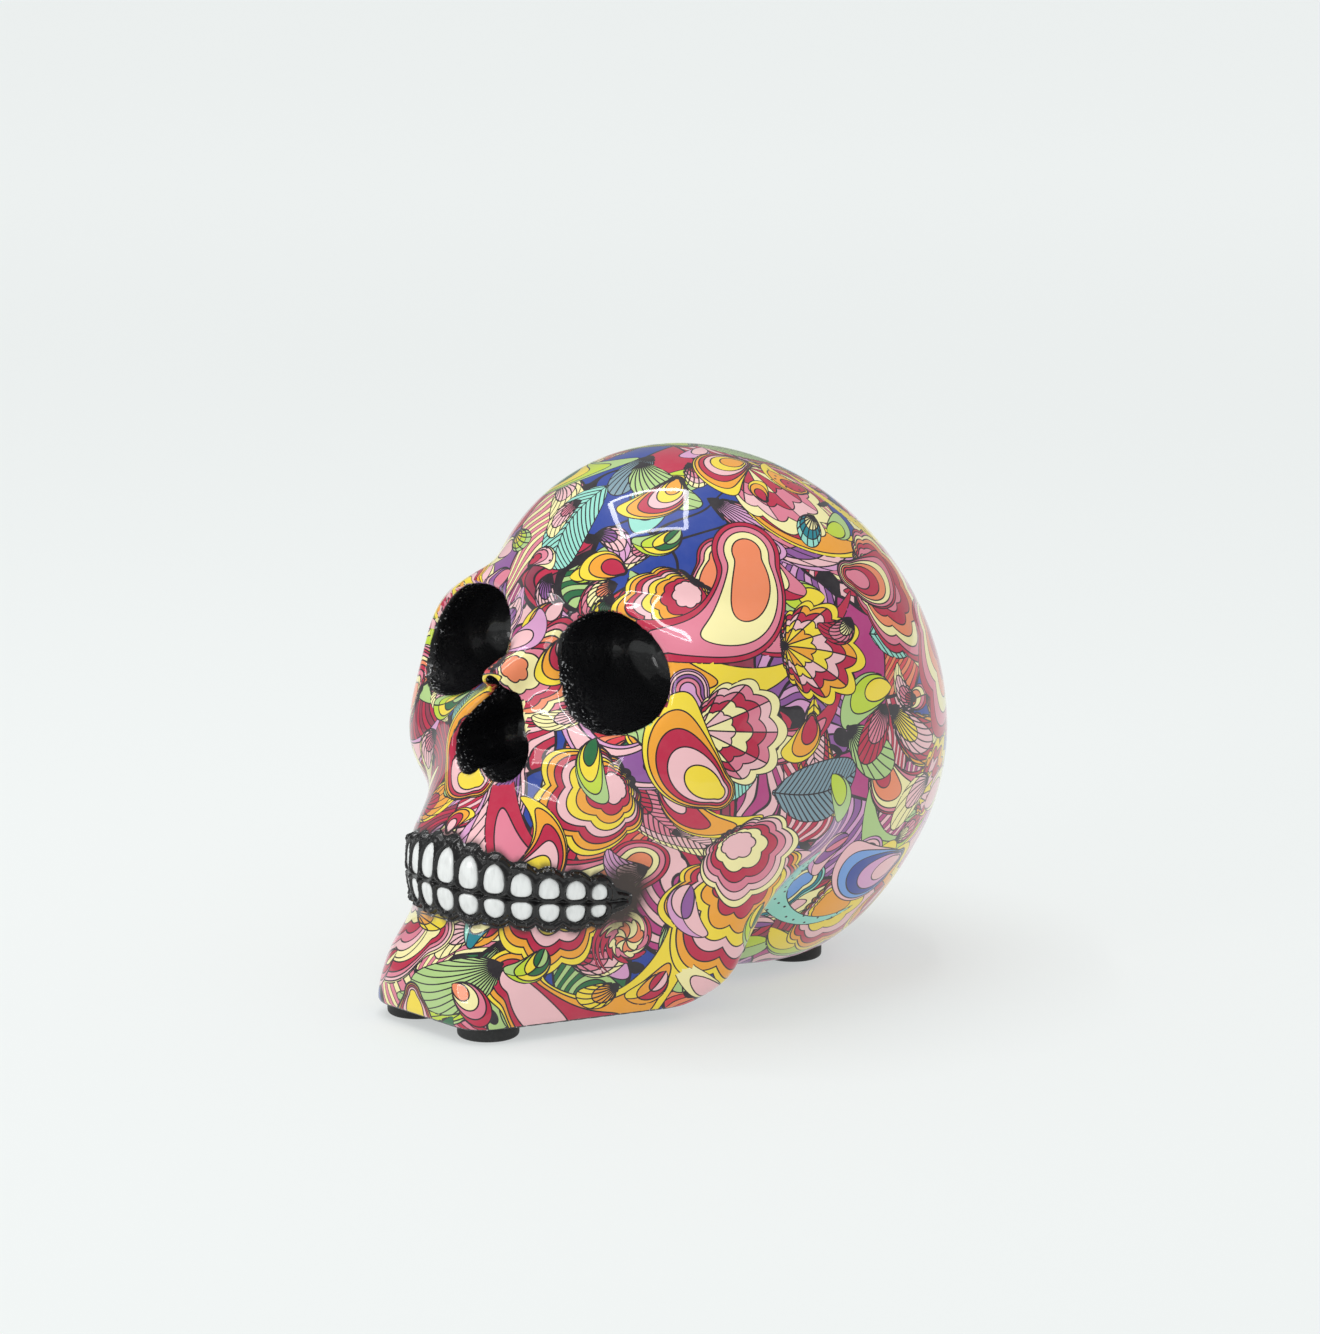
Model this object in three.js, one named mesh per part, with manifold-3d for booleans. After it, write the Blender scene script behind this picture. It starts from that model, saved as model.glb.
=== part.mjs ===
// A hollow resin skull on four rubber feet, with enamel tooth faces set into a framed mouth band.
// Lengths are in millimetres. The face looks along -Y, +X is the skull's own left and +Z is up.
// The origin lies on the table, under the middle of the skull's outline.
import * as THREE from "three";
import { mergeVertices } from "three/addons/utils/BufferGeometryUtils.js";
import Module from "manifold-3d";

// Casting: overall sizes, wall and the hole that the resin was poured through.
const castingWidth = 106;
const castingLength = 146.7;
const castingHeight = 121.2;
const wallThickness = 6;
const pourHoleDiameter = 16;
const pourHoleSetback = 10.5;

// Rubber feet.
const footDiameter = 14;
const footHeight = 3;
const footEdgeRadius = 0.8;
const frontFootSpacing = 24.6;
const frontFootInset = 9.5;
const rearFootSpacing = 22;
const rearFootSetback = 32;

// Eye sockets, measured across their rims.
const socketSpacing = 49.8;
const socketWidth = 34;
const socketHeight = 24.9;
const socketLevel = 78.5;
const socketFloorSetback = 18.6;
const socketMouthSetback = 38.4;

// Opening of the nose.
const noseApexLevel = 72.7;
const noseLobeLevel = 59.3;
const noseLobeSpacing = 11;
const noseLobeRadius = 6.8;
const noseApexRadius = 2.6;
const noseApexOffset = 0.2;
const noseFloorSetback = 34.6;
const noseMouthSetback = 54.4;

// Lower face and jaw.
const jawWidth = 69;
const jawAngleSetback = 24.6;
const chinEdgeRadius = 6;

// Mouth band with its raised frames, and the tooth faces set into it.
const biteLevel = 30.8;
const biteDrop = 3.6;
const bandProud = 1.1;
const bandSeat = 2.5;
const bandEndLength = 5;
const biteGap = 1.2;
const biteGrooveDepth = 0.7;
const frameWidth = 1.2;
const frameMargin = 1.9;
const frameNotch = 1.3;
const toothPitch = 6.2;
const upperToothHeight = 8;
const lowerToothHeight = 5.5;
const toothThickness = 1.6;
const toothRecess = 0.4;
const toothCrown = 0.25;
const toothClearance = 0.25;

// Spacing of the surface points, and the length by which cutting bodies pass through.
const faceStep = 4.8;
const crownStep = 8;
const hollowStep = 10;
const cutOverrun = 4;

// Counts: parts of a round outline, halvings in a search, and samples along the bite line.
const roundCount = 32;
const halvingCount = 24;
const archSampleCount = 120;

// Looks.
const resinColour = 0xb8456b;
const enamelColour = 0xf2f2ee;
const rubberColour = 0x141414;
const resinRoughness = 0.18;
const enamelRoughness = 0.25;
const rubberRoughness = 0.7;

const halfWidth = castingWidth / 2;
const underside = footHeight;
const faceFront = -castingLength / 2;

const wasm = await Module();
wasm.setup();

// Places in shares: across as a share of the half width, along of the length, and up of the height
// above the underside.
const placed = (shares) => [
  shares[0] * halfWidth,
  shares[1] * castingLength,
  underside + shares[2] * castingHeight,
];
const sized = (shares) => [
  shares[0] * halfWidth,
  shares[1] * castingLength,
  shares[2] * castingHeight,
];

// Soft joins of two distance fields: both together, what they share, and one with the other taken away.
function joined(a, b, blend) {
  const share = THREE.MathUtils.clamp(0.5 + (0.5 * (b - a)) / blend, 0, 1);
  return b + (a - b) * share - blend * share * (1 - share);
}
const overlapped = (a, b, blend) => -joined(-a, -b, blend);
const carved = (a, b, blend) => overlapped(a, -b, blend);

// An ellipsoid's distance field from its centre and half axes, turned about X by a tilt.
function ellipsoid({ centreShares, radiusShares, tilt = 0 }) {
  const [cx, cy, cz] = placed(centreShares);
  const [rx, ry, rz] = sized(radiusShares);
  const cos = Math.cos(tilt);
  const sin = Math.sin(tilt);
  return (x, y, z) => {
    const u = (x - cx) / rx;
    const v = ((y - cy) * cos + (z - cz) * sin) / ry;
    const w = ((z - cz) * cos - (y - cy) * sin) / rz;
    const level = Math.hypot(u, v, w);
    const slope = Math.hypot(u / rx, v / ry, w / rz);
    return slope === 0 ? -rx : (level * (level - 1)) / slope;
  };
}

// A box-like ellipsoid with one exponent in plan and one against height.
function squaredEllipsoid({ centreShares, radiusShares, planPower, heightPower }) {
  const [cx, cy, cz] = placed(centreShares);
  const [rx, ry, rz] = sized(radiusShares);
  const steepnessShare = 0.85;
  return (x, y, z) => {
    const plan = Math.abs((x - cx) / rx) ** planPower + Math.abs((y - cy) / ry) ** planPower;
    const sum = plan ** (heightPower / planPower) + Math.abs((z - cz) / rz) ** heightPower;
    const level = Math.max(sum ** (1 / heightPower), Number.EPSILON);
    return Math.hypot(x - cx, y - cy, z - cz) * (1 - 1 / level) * steepnessShare;
  };
}

// A round bar between two places that tapers from one radius to another.
function bar({ startShares, endShares, thicknessShares }) {
  const start = new THREE.Vector3(...placed(startShares));
  const run = new THREE.Vector3(...placed(endShares)).sub(start);
  const [startRadius, endRadius] = thicknessShares.map((share) => share * castingHeight);
  const squared = run.lengthSq();
  return (x, y, z) => {
    const dx = x - start.x;
    const dy = y - start.y;
    const dz = z - start.z;
    const t = THREE.MathUtils.clamp((dx * run.x + dy * run.y + dz * run.z) / squared, 0, 1);
    const gap = Math.hypot(dx - t * run.x, dy - t * run.y, dz - t * run.z);
    return gap - THREE.MathUtils.lerp(startRadius, endRadius, t);
  };
}

// A smooth curve through values at rising heights, level at both ends.
function smoothProfile(heights, values) {
  const slopes = values.map((value, i) => {
    if (i === 0 || i === values.length - 1) return 0;
    return (values[i + 1] - values[i - 1]) / (heights[i + 1] - heights[i - 1]);
  });
  return (height) => {
    const h = THREE.MathUtils.clamp(height, heights[0], heights[heights.length - 1]);
    let i = 0;
    while (i < heights.length - 2 && h > heights[i + 1]) i += 1;
    const span = heights[i + 1] - heights[i];
    const t = (h - heights[i]) / span;
    const rise = t * t * (3 - 2 * t);
    const leave = slopes[i] * span * t * (1 - t) ** 2;
    const arrive = slopes[i + 1] * span * t * t * (t - 1);
    return values[i] + (values[i + 1] - values[i]) * rise + leave + arrive;
  };
}

// Braincase: a long ellipsoid from the top of the forehead down to the back of the base.
const braincaseShape = {
  centreShares: [0, 0.1102, 0.5064],
  radiusShares: [1, 0.3565, 0.5292],
  tilt: THREE.MathUtils.degToRad(38.5),
};
const braincase = ellipsoid(braincaseShape);

// The other rounded masses, each with the width of its soft join.
const mass = (field, blendShare) => ({ field, blend: blendShare * castingHeight });

// Base of the braincase, and the flatter sides and front of the cranium.
const baseShape = {
  centreShares: [0, 0.1316, 0.1815],
  radiusShares: [0.566, 0.2318, 0.2142],
};
const sideShape = {
  centreShares: [0, 0.0131, 0.5605],
  radiusShares: [0.9375, 0.2758, 0.2204],
  planPower: 5.11,
  heightPower: 3.48,
};
const baseBlendShare = 0.1319;
const sideBlendShare = 0.0302;

// Brow, bridge and back of the nose, and the face round the nose opening.
const browShape = {
  startShares: [0, -0.0582, 0.7114],
  endShares: [0.4829, -0.2104, 0.69],
  thicknessShares: [0.0459, 0.0576],
};
const bridgeShape = {
  startShares: [0, -0.2205, 0.7578],
  endShares: [0, -0.1988, 0.6851],
  thicknessShares: [0.0472, 0.0327],
};
const noseBackShape = {
  startShares: [0, -0.1988, 0.6851],
  endShares: [0, -0.334, 0.6062],
  thicknessShares: [0.0327, 0.0357],
};
const noseRootShape = {
  centreShares: [0, -0.2166, 0.4952],
  radiusShares: [0.445, 0.1452, 0.1214],
};
const browBlendShare = 0.0754;
const bridgeBlendShare = 0.0494;
const noseBackBlendShare = 0.0417;
const noseRootBlendShare = 0.0589;

// Cheekbone and the arch behind it, and the back edge of the jaw below the arch.
const cheekShape = {
  centreShares: [0.5872, -0.0884, 0.447],
  radiusShares: [0.2462, 0.2254, 0.1404],
};
const archShape = {
  startShares: [0.79, -0.1777, 0.4269],
  endShares: [0.885, -0.0046, 0.363],
  thicknessShares: [0.0575, 0.0417],
};
const ramusShape = {
  startShares: [0.735, -0.0996, 0.3382],
  endShares: [0.62, -0.1268, 0.1071],
  thicknessShares: [0.0655, 0.0575],
};
const cheekBlendShare = 0.1521;
const archBlendShare = 0.09;
const ramusBlendShare = 0.0992;

const upperMasses = [
  mass(ellipsoid(baseShape), baseBlendShare),
  mass(squaredEllipsoid(sideShape), sideBlendShare),
  mass(bar(browShape), browBlendShare),
  mass(bar(bridgeShape), bridgeBlendShare),
  mass(bar(noseBackShape), noseBackBlendShare),
  mass(ellipsoid(noseRootShape), noseRootBlendShare),
  mass(ellipsoid(cheekShape), cheekBlendShare),
  mass(bar(archShape), archBlendShare),
];
const ramus = mass(bar(ramusShape), ramusBlendShare);

// Lower face: a column whose front, width and corner rounding follow the height from the chin to the nose.
const columnHeightShares = [0, 0.085, 0.172, 0.2479, 0.3213, 0.4542, 0.602];
const columnSetbackShares = [0, 0, 0.0307, 0.0265, 0.0375, 0.1261, 0.1669];
const columnWidthShares = [1, 0.998, 0.995, 1.038, 1.014, 0.855, 0.783];
const columnRoundingShares = [0, 0.35, 0.88, 1, 1, 1, 1];
const columnFlare = 0.33;
const columnFullRoundingShare = 0.216;
const columnNoseShare = 0.024;
const columnTopShare = 0.507;
const columnBackShare = 0.015;
const columnEndBlendShare = 0.075;
const jawBackSlope = 0.75;
const jawBackReachShare = 0.1;
const jawBackLevelShare = 0.0915;
const jawBackBlendShare = 0.05;
const jawJoinShare = 0.1;

const columnHeights = columnHeightShares.map((share) => underside + share * castingHeight);
const columnFront = smoothProfile(
  columnHeights,
  columnSetbackShares.map((share) => faceFront + share * castingLength),
);
const columnHalfWidth = smoothProfile(
  columnHeights,
  columnWidthShares.map((share) => (share * jawWidth) / 2),
);
const columnRounding = smoothProfile(
  columnHeights,
  columnRoundingShares.map((share) =>
    THREE.MathUtils.lerp(chinEdgeRadius, columnFullRoundingShare * castingHeight, share),
  ),
);

// Distance field of the lower face column, for a place on or beside the middle plane.
function lowerFace(x, y, z) {
  const soft = Math.hypot(x, columnNoseShare * castingLength);
  const squareShare = 1 / Math.hypot(1, columnFlare);
  const side = (soft - columnHalfWidth(z) - columnFlare * (y + jawAngleSetback)) * squareShare;
  const endBlend = columnEndBlendShare * castingHeight;
  const top = z - underside - columnTopShare * castingHeight;
  const back = y + columnBackShare * castingLength;
  let column = overlapped(side, columnFront(z) - y, columnRounding(z));
  column = overlapped(column, overlapped(top, back, endBlend), endBlend);
  const backLean = z - underside - jawBackLevelShare * castingHeight;
  const slopeLength = Math.hypot(1, jawBackSlope);
  const jawBack = (y + jawBackReachShare * castingLength - jawBackSlope * backLean) / slopeLength;
  return overlapped(column, jawBack, jawBackBlendShare * castingHeight);
}

// Eye socket: an oval bowl that droops to the outside and narrows towards its rounded floor.
const socketTilt = THREE.MathUtils.degToRad(19.5);
const socketPower = 2;
const socketDepthShares = [-1, 0, 0.3, 0.58, 0.8, 0.95, 1];
const socketNarrowShares = [1, 1, 0.89, 0.77, 0.63, 0.43, 0.22];

// Edge of the socket in the face's plane at a turn round its centre: across and up from the centre.
function socketEdge(turn) {
  const cos = Math.cos(turn);
  const sin = Math.sin(turn);
  const u = (Math.sign(cos) * Math.abs(cos) ** (2 / socketPower) * socketWidth) / 2;
  const v = (Math.sign(sin) * Math.abs(sin) ** (2 / socketPower) * socketHeight) / 2;
  return [
    u * Math.cos(socketTilt) + v * Math.sin(socketTilt),
    v * Math.cos(socketTilt) - u * Math.sin(socketTilt),
  ];
}

// Nose opening: a slender apex that widens down into two lobes with a spine between them.
const noseDepthShares = [-1, 0.3, 0.75, 1];
const noseNarrowShares = [1, 1, 0.9, 0.62];
const noseCentreLevel = (noseApexLevel + 2 * noseLobeLevel) / 3;

function noseLobe(x, up) {
  const runX = noseLobeSpacing / 2 - noseApexOffset;
  const runZ = noseLobeLevel - noseApexLevel;
  const dx = Math.abs(x) - noseApexOffset;
  const dz = up - noseApexLevel;
  const t = THREE.MathUtils.clamp((dx * runX + dz * runZ) / (runX ** 2 + runZ ** 2), 0, 1);
  return Math.hypot(dx - t * runX, dz - t * runZ) - THREE.MathUtils.lerp(noseApexRadius, noseLobeRadius, t);
}

// Edge of the nose opening at a turn round its centre, found by halving out from the centre.
function noseEdge(turn) {
  let inner = 0;
  let outer = noseApexLevel - noseLobeLevel + 2 * noseLobeRadius;
  for (let round = 0; round < halvingCount; round += 1) {
    const middle = (inner + outer) / 2;
    if (noseLobe(Math.cos(turn) * middle, noseCentreLevel + Math.sin(turn) * middle) < 0) inner = middle;
    else outer = middle;
  }
  return [Math.cos(turn) * inner, Math.sin(turn) * inner];
}

// The outside of the casting without its openings, negative inside. It ends below the underside,
// where it is cut flat.
function castingField(px, y, z) {
  const x = Math.abs(px);
  let field = braincase(x, y, z);
  for (const upper of upperMasses) field = joined(field, upper.field(x, y, z), upper.blend);
  field = joined(field, lowerFace(x, y, z), jawJoinShare * castingHeight);
  field = joined(field, ramus.field(x, y, z), ramus.blend);
  return Math.max(field, underside - cutOverrun - z);
}

// The hollow keeps the wall's thickness from the outside, the sockets and the nose opening, within the
// braincase.
const hollowBlendShare = 0.05;

function hollowField(px, y, z) {
  const x = Math.abs(px);
  const up = z - underside;
  const blend = hollowBlendShare * castingHeight;
  const shell = overlapped(castingField(x, y, z), braincase(x, y, z), blend) + wallThickness;
  const socketSide = Math.hypot(x - socketSpacing / 2, up - socketLevel) - socketWidth / 2;
  const socket = Math.max(socketSide, y + socketFloorSetback);
  const noseRadius = noseLobeSpacing / 2 + noseLobeRadius;
  const noseSide = Math.hypot(x, up - noseCentreLevel) - noseRadius;
  const nose = Math.max(noseSide, y + noseFloorSetback);
  return carved(shell, Math.min(socket, nose) - wallThickness, blend);
}

// Grid lines between two places, whose spacing grows from a fine step to a coarse one.
function gradedLines(from, to, fineUpTo, coarseFrom, fineStep, coarseStep) {
  const lines = [from];
  while (lines[lines.length - 1] < to) {
    const last = lines[lines.length - 1];
    const share = THREE.MathUtils.smoothstep(last, fineUpTo, coarseFrom);
    lines.push(last + THREE.MathUtils.lerp(fineStep, coarseStep, share));
  }
  return lines;
}

// Grid lines over the casting's box: fine over the face, coarse over the crown and the back.
const crownStartShare = 0.78;
const backStartShare = -0.15;
const backEndShare = 0.2;

function castingGrid(fineStep, coarseStep) {
  const reach = 2 * coarseStep;
  const half = gradedLines(fineStep / 2, halfWidth + reach, halfWidth, halfWidth, fineStep, fineStep);
  const top = underside + castingHeight;
  return [
    [...half.map((x) => -x).reverse(), ...half],
    gradedLines(
      faceFront - reach,
      castingLength / 2 + reach,
      backStartShare * castingLength,
      backEndShare * castingLength,
      fineStep,
      coarseStep,
    ),
    gradedLines(
      underside - reach,
      top + reach,
      crownStartShare * castingHeight,
      top,
      fineStep,
      coarseStep,
    ),
  ];
}

// Grid corners inside a field, with corners added until no cell or cell face holds two touching surfaces.
function filledCorners(values, nx, ny, nz) {
  const inside = values.map((value) => (value < 0 ? 1 : 0));
  const index = (i, j, k) => i + nx * (j + ny * k);
  const steps = [1, nx, nx * ny];
  const planes = [
    [0, 1],
    [0, 2],
    [1, 2],
  ];
  let changed = true;
  while (changed) {
    changed = false;
    for (let k = 0; k < nz - 1; k += 1) {
      for (let j = 0; j < ny - 1; j += 1) {
        for (let i = 0; i < nx - 1; i += 1) {
          const c = index(i, j, k);
          for (const [a, b] of planes) {
            const square = [c, c + steps[a], c + steps[a] + steps[b], c + steps[b]];
            const marks = square.map((n) => inside[n]);
            if (marks[0] === marks[2] && marks[1] === marks[3] && marks[0] !== marks[1]) {
              inside[square[marks[0] ? 1 : 0]] = 1;
              changed = true;
            }
          }
          const cube = [0, 1, 2, 3, 4, 5, 6, 7].map(
            (n) => c + (n & 1) * steps[0] + ((n >> 1) & 1) * steps[1] + (n >> 2) * steps[2],
          );
          const total = cube.reduce((sum, n) => sum + inside[n], 0);
          for (let n = 0; n < 4; n += 1) {
            const alike = inside[cube[n]] === inside[cube[7 - n]];
            const mark = inside[cube[n]];
            if (alike && ((mark && total === 2) || (!mark && total === 6))) {
              inside[cube[mark ? n ^ 1 : n]] = 1;
              changed = true;
            }
          }
        }
      }
    }
  }
  return inside;
}

// The closed surface where a field is zero, with one point in each grid cell that it crosses.
const probeShare = 0.01;
const cellMarginShare = 0.04;
const settlingCount = 4;

function skinOf(field, [xs, ys, zs]) {
  const nx = xs.length;
  const ny = ys.length;
  const nz = zs.length;
  const values = new Float64Array(nx * ny * nz);
  const index = (i, j, k) => i + nx * (j + ny * k);
  for (let k = 0; k < nz; k += 1) {
    for (let j = 0; j < ny; j += 1) {
      for (let i = 0; i < nx; i += 1) values[index(i, j, k)] = field(xs[i], ys[j], zs[k]);
    }
  }
  const inside = filledCorners(values, nx, ny, nz);
  const probe = (xs[1] - xs[0]) * probeShare;
  const steps = [1, nx, nx * ny];
  const points = [];
  const pointOf = new Map();
  for (let k = 0; k < nz - 1; k += 1) {
    for (let j = 0; j < ny - 1; j += 1) {
      for (let i = 0; i < nx - 1; i += 1) {
        const low = [xs[i], ys[j], zs[k]];
        const high = [xs[i + 1], ys[j + 1], zs[k + 1]];
        const sum = new THREE.Vector3();
        let crossings = 0;
        for (let axis = 0; axis < 3; axis += 1) {
          for (let corner = 0; corner < 4; corner += 1) {
            const shift = [0, 0, 0];
            shift[(axis + 1) % 3] = corner & 1;
            shift[(axis + 2) % 3] = corner >> 1;
            const a = index(i + shift[0], j + shift[1], k + shift[2]);
            const b = a + steps[axis];
            if (inside[a] === inside[b]) continue;
            const cut = Math.abs(values[a]) / (Math.abs(values[a]) + Math.abs(values[b]));
            const place = shift.map((side, n) => (side ? high[n] : low[n]));
            place[axis] = THREE.MathUtils.lerp(low[axis], high[axis], cut);
            sum.add(new THREE.Vector3(...place));
            crossings += 1;
          }
        }
        if (crossings === 0) continue;
        const point = settled(field, sum.divideScalar(crossings), low, high, probe);
        pointOf.set(index(i, j, k), points.length / 3);
        points.push(...point);
      }
    }
  }
  const triangles = [];
  for (let k = 1; k < nz - 1; k += 1) {
    for (let j = 1; j < ny - 1; j += 1) {
      for (let i = 1; i < nx - 1; i += 1) {
        const c = index(i, j, k);
        for (let axis = 0; axis < 3; axis += 1) {
          if (inside[c] === inside[c + steps[axis]]) continue;
          const one = steps[(axis + 1) % 3];
          const two = steps[(axis + 2) % 3];
          const ring = [c - one - two, c - two, c, c - one].map((n) => pointOf.get(n));
          pushQuad(triangles, points, inside[c] ? ring : ring.reverse());
        }
      }
    }
  }
  return { points: new Float32Array(points), triangles: new Uint32Array(triangles) };
}

// A point moved along the field's slope onto its surface, kept within its grid cell.
function settled(field, start, low, high, probe) {
  const place = start.toArray();
  for (let round = 0; round < settlingCount; round += 1) {
    const [x, y, z] = place;
    const value = field(x, y, z);
    const slope = [
      (field(x + probe, y, z) - field(x - probe, y, z)) / probe / 2,
      (field(x, y + probe, z) - field(x, y - probe, z)) / probe / 2,
      (field(x, y, z + probe) - field(x, y, z - probe)) / probe / 2,
    ];
    const squared = Math.max(slope[0] ** 2 + slope[1] ** 2 + slope[2] ** 2, Number.EPSILON);
    for (let n = 0; n < 3; n += 1) {
      const margin = (high[n] - low[n]) * cellMarginShare;
      const moved = place[n] - (value * slope[n]) / squared;
      place[n] = THREE.MathUtils.clamp(moved, low[n] + margin, high[n] - margin);
    }
  }
  return place;
}

// Two triangles over four points in a ring, divided along the shorter diagonal.
function pushQuad(triangles, points, [a, b, c, d]) {
  const gap = (m, n) =>
    Math.hypot(
      points[3 * m] - points[3 * n],
      points[3 * m + 1] - points[3 * n + 1],
      points[3 * m + 2] - points[3 * n + 2],
    );
  if (gap(a, c) <= gap(b, d)) triangles.push(a, b, c, a, c, d);
  else triangles.push(a, b, d, b, c, d);
}

const solidOf = ({ points, triangles }) =>
  new wasm.Manifold(new wasm.Mesh({ numProp: 3, vertProperties: points, triVerts: triangles }));

// A solid from one of the library's geometries, with its shared corners merged.
function solidOfGeometry(geometry) {
  const bare = geometry.clone();
  bare.deleteAttribute("normal");
  bare.deleteAttribute("uv");
  const merged = mergeVertices(bare);
  return solidOf({
    points: new Float32Array(merged.getAttribute("position").array),
    triangles: new Uint32Array(merged.index.array),
  });
}

function geometryOf(solid) {
  const { vertProperties, triVerts } = solid.getMesh();
  const geometry = new THREE.BufferGeometry();
  geometry.setAttribute("position", new THREE.BufferAttribute(new Float32Array(vertProperties), 3));
  geometry.setIndex(new THREE.BufferAttribute(new Uint32Array(triVerts), 1));
  geometry.computeVertexNormals();
  return geometry;
}

function namedMesh(name, geometry, colour, roughness) {
  const material = new THREE.MeshStandardMaterial({ color: colour, roughness, metalness: 0 });
  const mesh = new THREE.Mesh(geometry, material);
  mesh.name = name;
  return mesh;
}

// Mouth: places on the face along level rays that fan out from a centre inside the jaw.
const fanSetbackShare = 0.24;
const fanSetback = fanSetbackShare * castingLength;
const rayReach = castingLength / 2;

function rayPlace(angle, z, radius) {
  return [Math.sin(angle) * radius, -fanSetback - Math.cos(angle) * radius, z];
}

function faceRadius(angle, z) {
  let inner = 0;
  let outer = rayReach;
  while (castingField(...rayPlace(angle, z, outer)) > 0 && outer > 0) {
    inner = outer;
    outer -= bandSeat;
  }
  for (let round = 0; round < halvingCount; round += 1) {
    const middle = (inner + outer) / 2;
    if (castingField(...rayPlace(angle, z, middle)) > 0) inner = middle;
    else outer = middle;
  }
  return (inner + outer) / 2;
}

const mouthPlace = (angle, z, offset) => rayPlace(angle, z, faceRadius(angle, z) + offset);

// The angle of the ray at each length along the bite line, counted from the middle of the face.
const archReach = THREE.MathUtils.degToRad(115);
const archSamples = [];
for (let i = 0, length = 0; i <= archSampleCount; i += 1) {
  const angle = (archReach * i) / archSampleCount;
  const place = new THREE.Vector3(...mouthPlace(angle, underside + biteLevel, 0));
  if (i > 0) length += place.distanceTo(archSamples[i - 1].place);
  archSamples.push({ angle, place, length });
}

function archAngle(along) {
  const wanted = Math.abs(along);
  let i = 1;
  while (i < archSamples.length - 1 && archSamples[i].length < wanted) i += 1;
  const before = archSamples[i - 1];
  const after = archSamples[i];
  const share = (wanted - before.length) / (after.length - before.length);
  return Math.sign(along) * THREE.MathUtils.lerp(before.angle, after.angle, share);
}

// Teeth of one side from the middle back: widths and heights as shares of the pitch and of the front teeth.
const toothWidthShares = [1, 1, 1, 1, 0.98, 0.95, 0.82];
const upperHeightShares = [1, 0.93, 0.83, 0.68, 0.61, 0.56, 0.47];
const lowerHeightShares = [1, 0.91, 0.84, 0.79, 0.79, 0.76, 0.56];

const teeth = [];
for (let i = 0, edge = 0; i < toothWidthShares.length; i += 1) {
  const pitch = toothPitch * toothWidthShares[i];
  teeth.push({
    number: i + 1,
    pitch,
    centre: edge + pitch / 2,
    upper: upperToothHeight * upperHeightShares[i],
    lower: lowerToothHeight * lowerHeightShares[i],
  });
  edge += pitch;
}
const rowLength = teeth[teeth.length - 1].centre + teeth[teeth.length - 1].pitch / 2;
const bandLength = rowLength + bandEndLength;

const biteHeight = (along) =>
  underside + biteLevel - biteDrop * Math.min(Math.abs(along) / rowLength, 1);

// Edge of the band above or below the bite: a scallop round each tooth, falling to the frame between them.
function bandEdge(along, row) {
  const reaches = teeth.map((tooth) => {
    const off = (2 * (Math.abs(along) - tooth.centre)) / tooth.pitch;
    return tooth[row] + frameMargin - frameNotch * off ** 2;
  });
  return biteGap / 2 + Math.max(...reaches, frameMargin);
}

// Closed band along the mouth: an outer face with its bite groove, and a seat inside the wall.
// Its rows lie at shares of its reach, below and above the bite, and it thins out at both ends.
const stationsPerTooth = 4;
const bandRowShares = [-1, -0.12, 0, 0.1, 1];
const bandEndReachShare = 0.5;
const bandEndProudShare = 0.1;

function mouthBand() {
  const count = 2 * Math.round((bandLength / toothPitch) * stationsPerTooth);
  const grooveRow = bandRowShares.indexOf(0);
  const points = [];
  const triangles = [];
  for (let i = 0; i <= count; i += 1) {
    const along = THREE.MathUtils.lerp(-bandLength, bandLength, i / count);
    const fade = Math.min((bandLength - Math.abs(along)) / bandEndLength, 1);
    const angle = archAngle(along);
    const reachShare = THREE.MathUtils.lerp(bandEndReachShare, 1, fade);
    const line = bandRowShares.map((share, row) => {
      const reach = share < 0 ? bandEdge(along, "lower") : bandEdge(along, "upper");
      const z = biteHeight(along) + share * reach * reachShare;
      const depth = row === grooveRow ? biteGrooveDepth : 0;
      return { z, offset: (bandProud - depth) * Math.max(fade, bandEndProudShare) };
    });
    line.forEach(({ z, offset }) => points.push(...mouthPlace(angle, z, offset)));
    line.forEach(({ z }) => points.push(...mouthPlace(angle, z, -bandSeat)));
  }
  const rows = bandRowShares.length;
  const ring = 2 * rows;
  const around = [...Array(rows).keys(), ...[...Array(rows).keys()].map((n) => ring - 1 - n)];
  for (let i = 0; i < count; i += 1) {
    around.forEach((n, place) => {
      const next = around[(place + 1) % ring];
      const here = i * ring;
      pushQuad(triangles, points, [here + n, here + ring + n, here + ring + next, here + next]);
    });
  }
  for (let n = 0; n < rows - 1; n += 1) {
    const end = count * ring;
    pushQuad(triangles, points, [n, n + 1, rows + n + 1, rows + n]);
    pushQuad(triangles, points, [end + n, end + rows + n, end + rows + n + 1, end + n + 1]);
  }
  return solidOf({ points: new Float32Array(points), triangles: new Uint32Array(triangles) });
}

// Outline of a tooth face from its biting edge to its root: across in half widths, up in heights.
const toothOutlineShares = [
  [-0.78, 0],
  [0.78, 0],
  [0.95, 0.1],
  [1, 0.32],
  [0.93, 0.6],
  [0.72, 0.85],
  [0.38, 0.97],
  [0, 1],
  [-0.38, 0.97],
  [-0.72, 0.85],
  [-0.93, 0.6],
  [-1, 0.32],
  [-0.95, 0.1],
];

// A tooth-shaped body on the band: its outline grown by a margin, between two offsets from the face.
const toothMiddleShare = 0.5;

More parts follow.
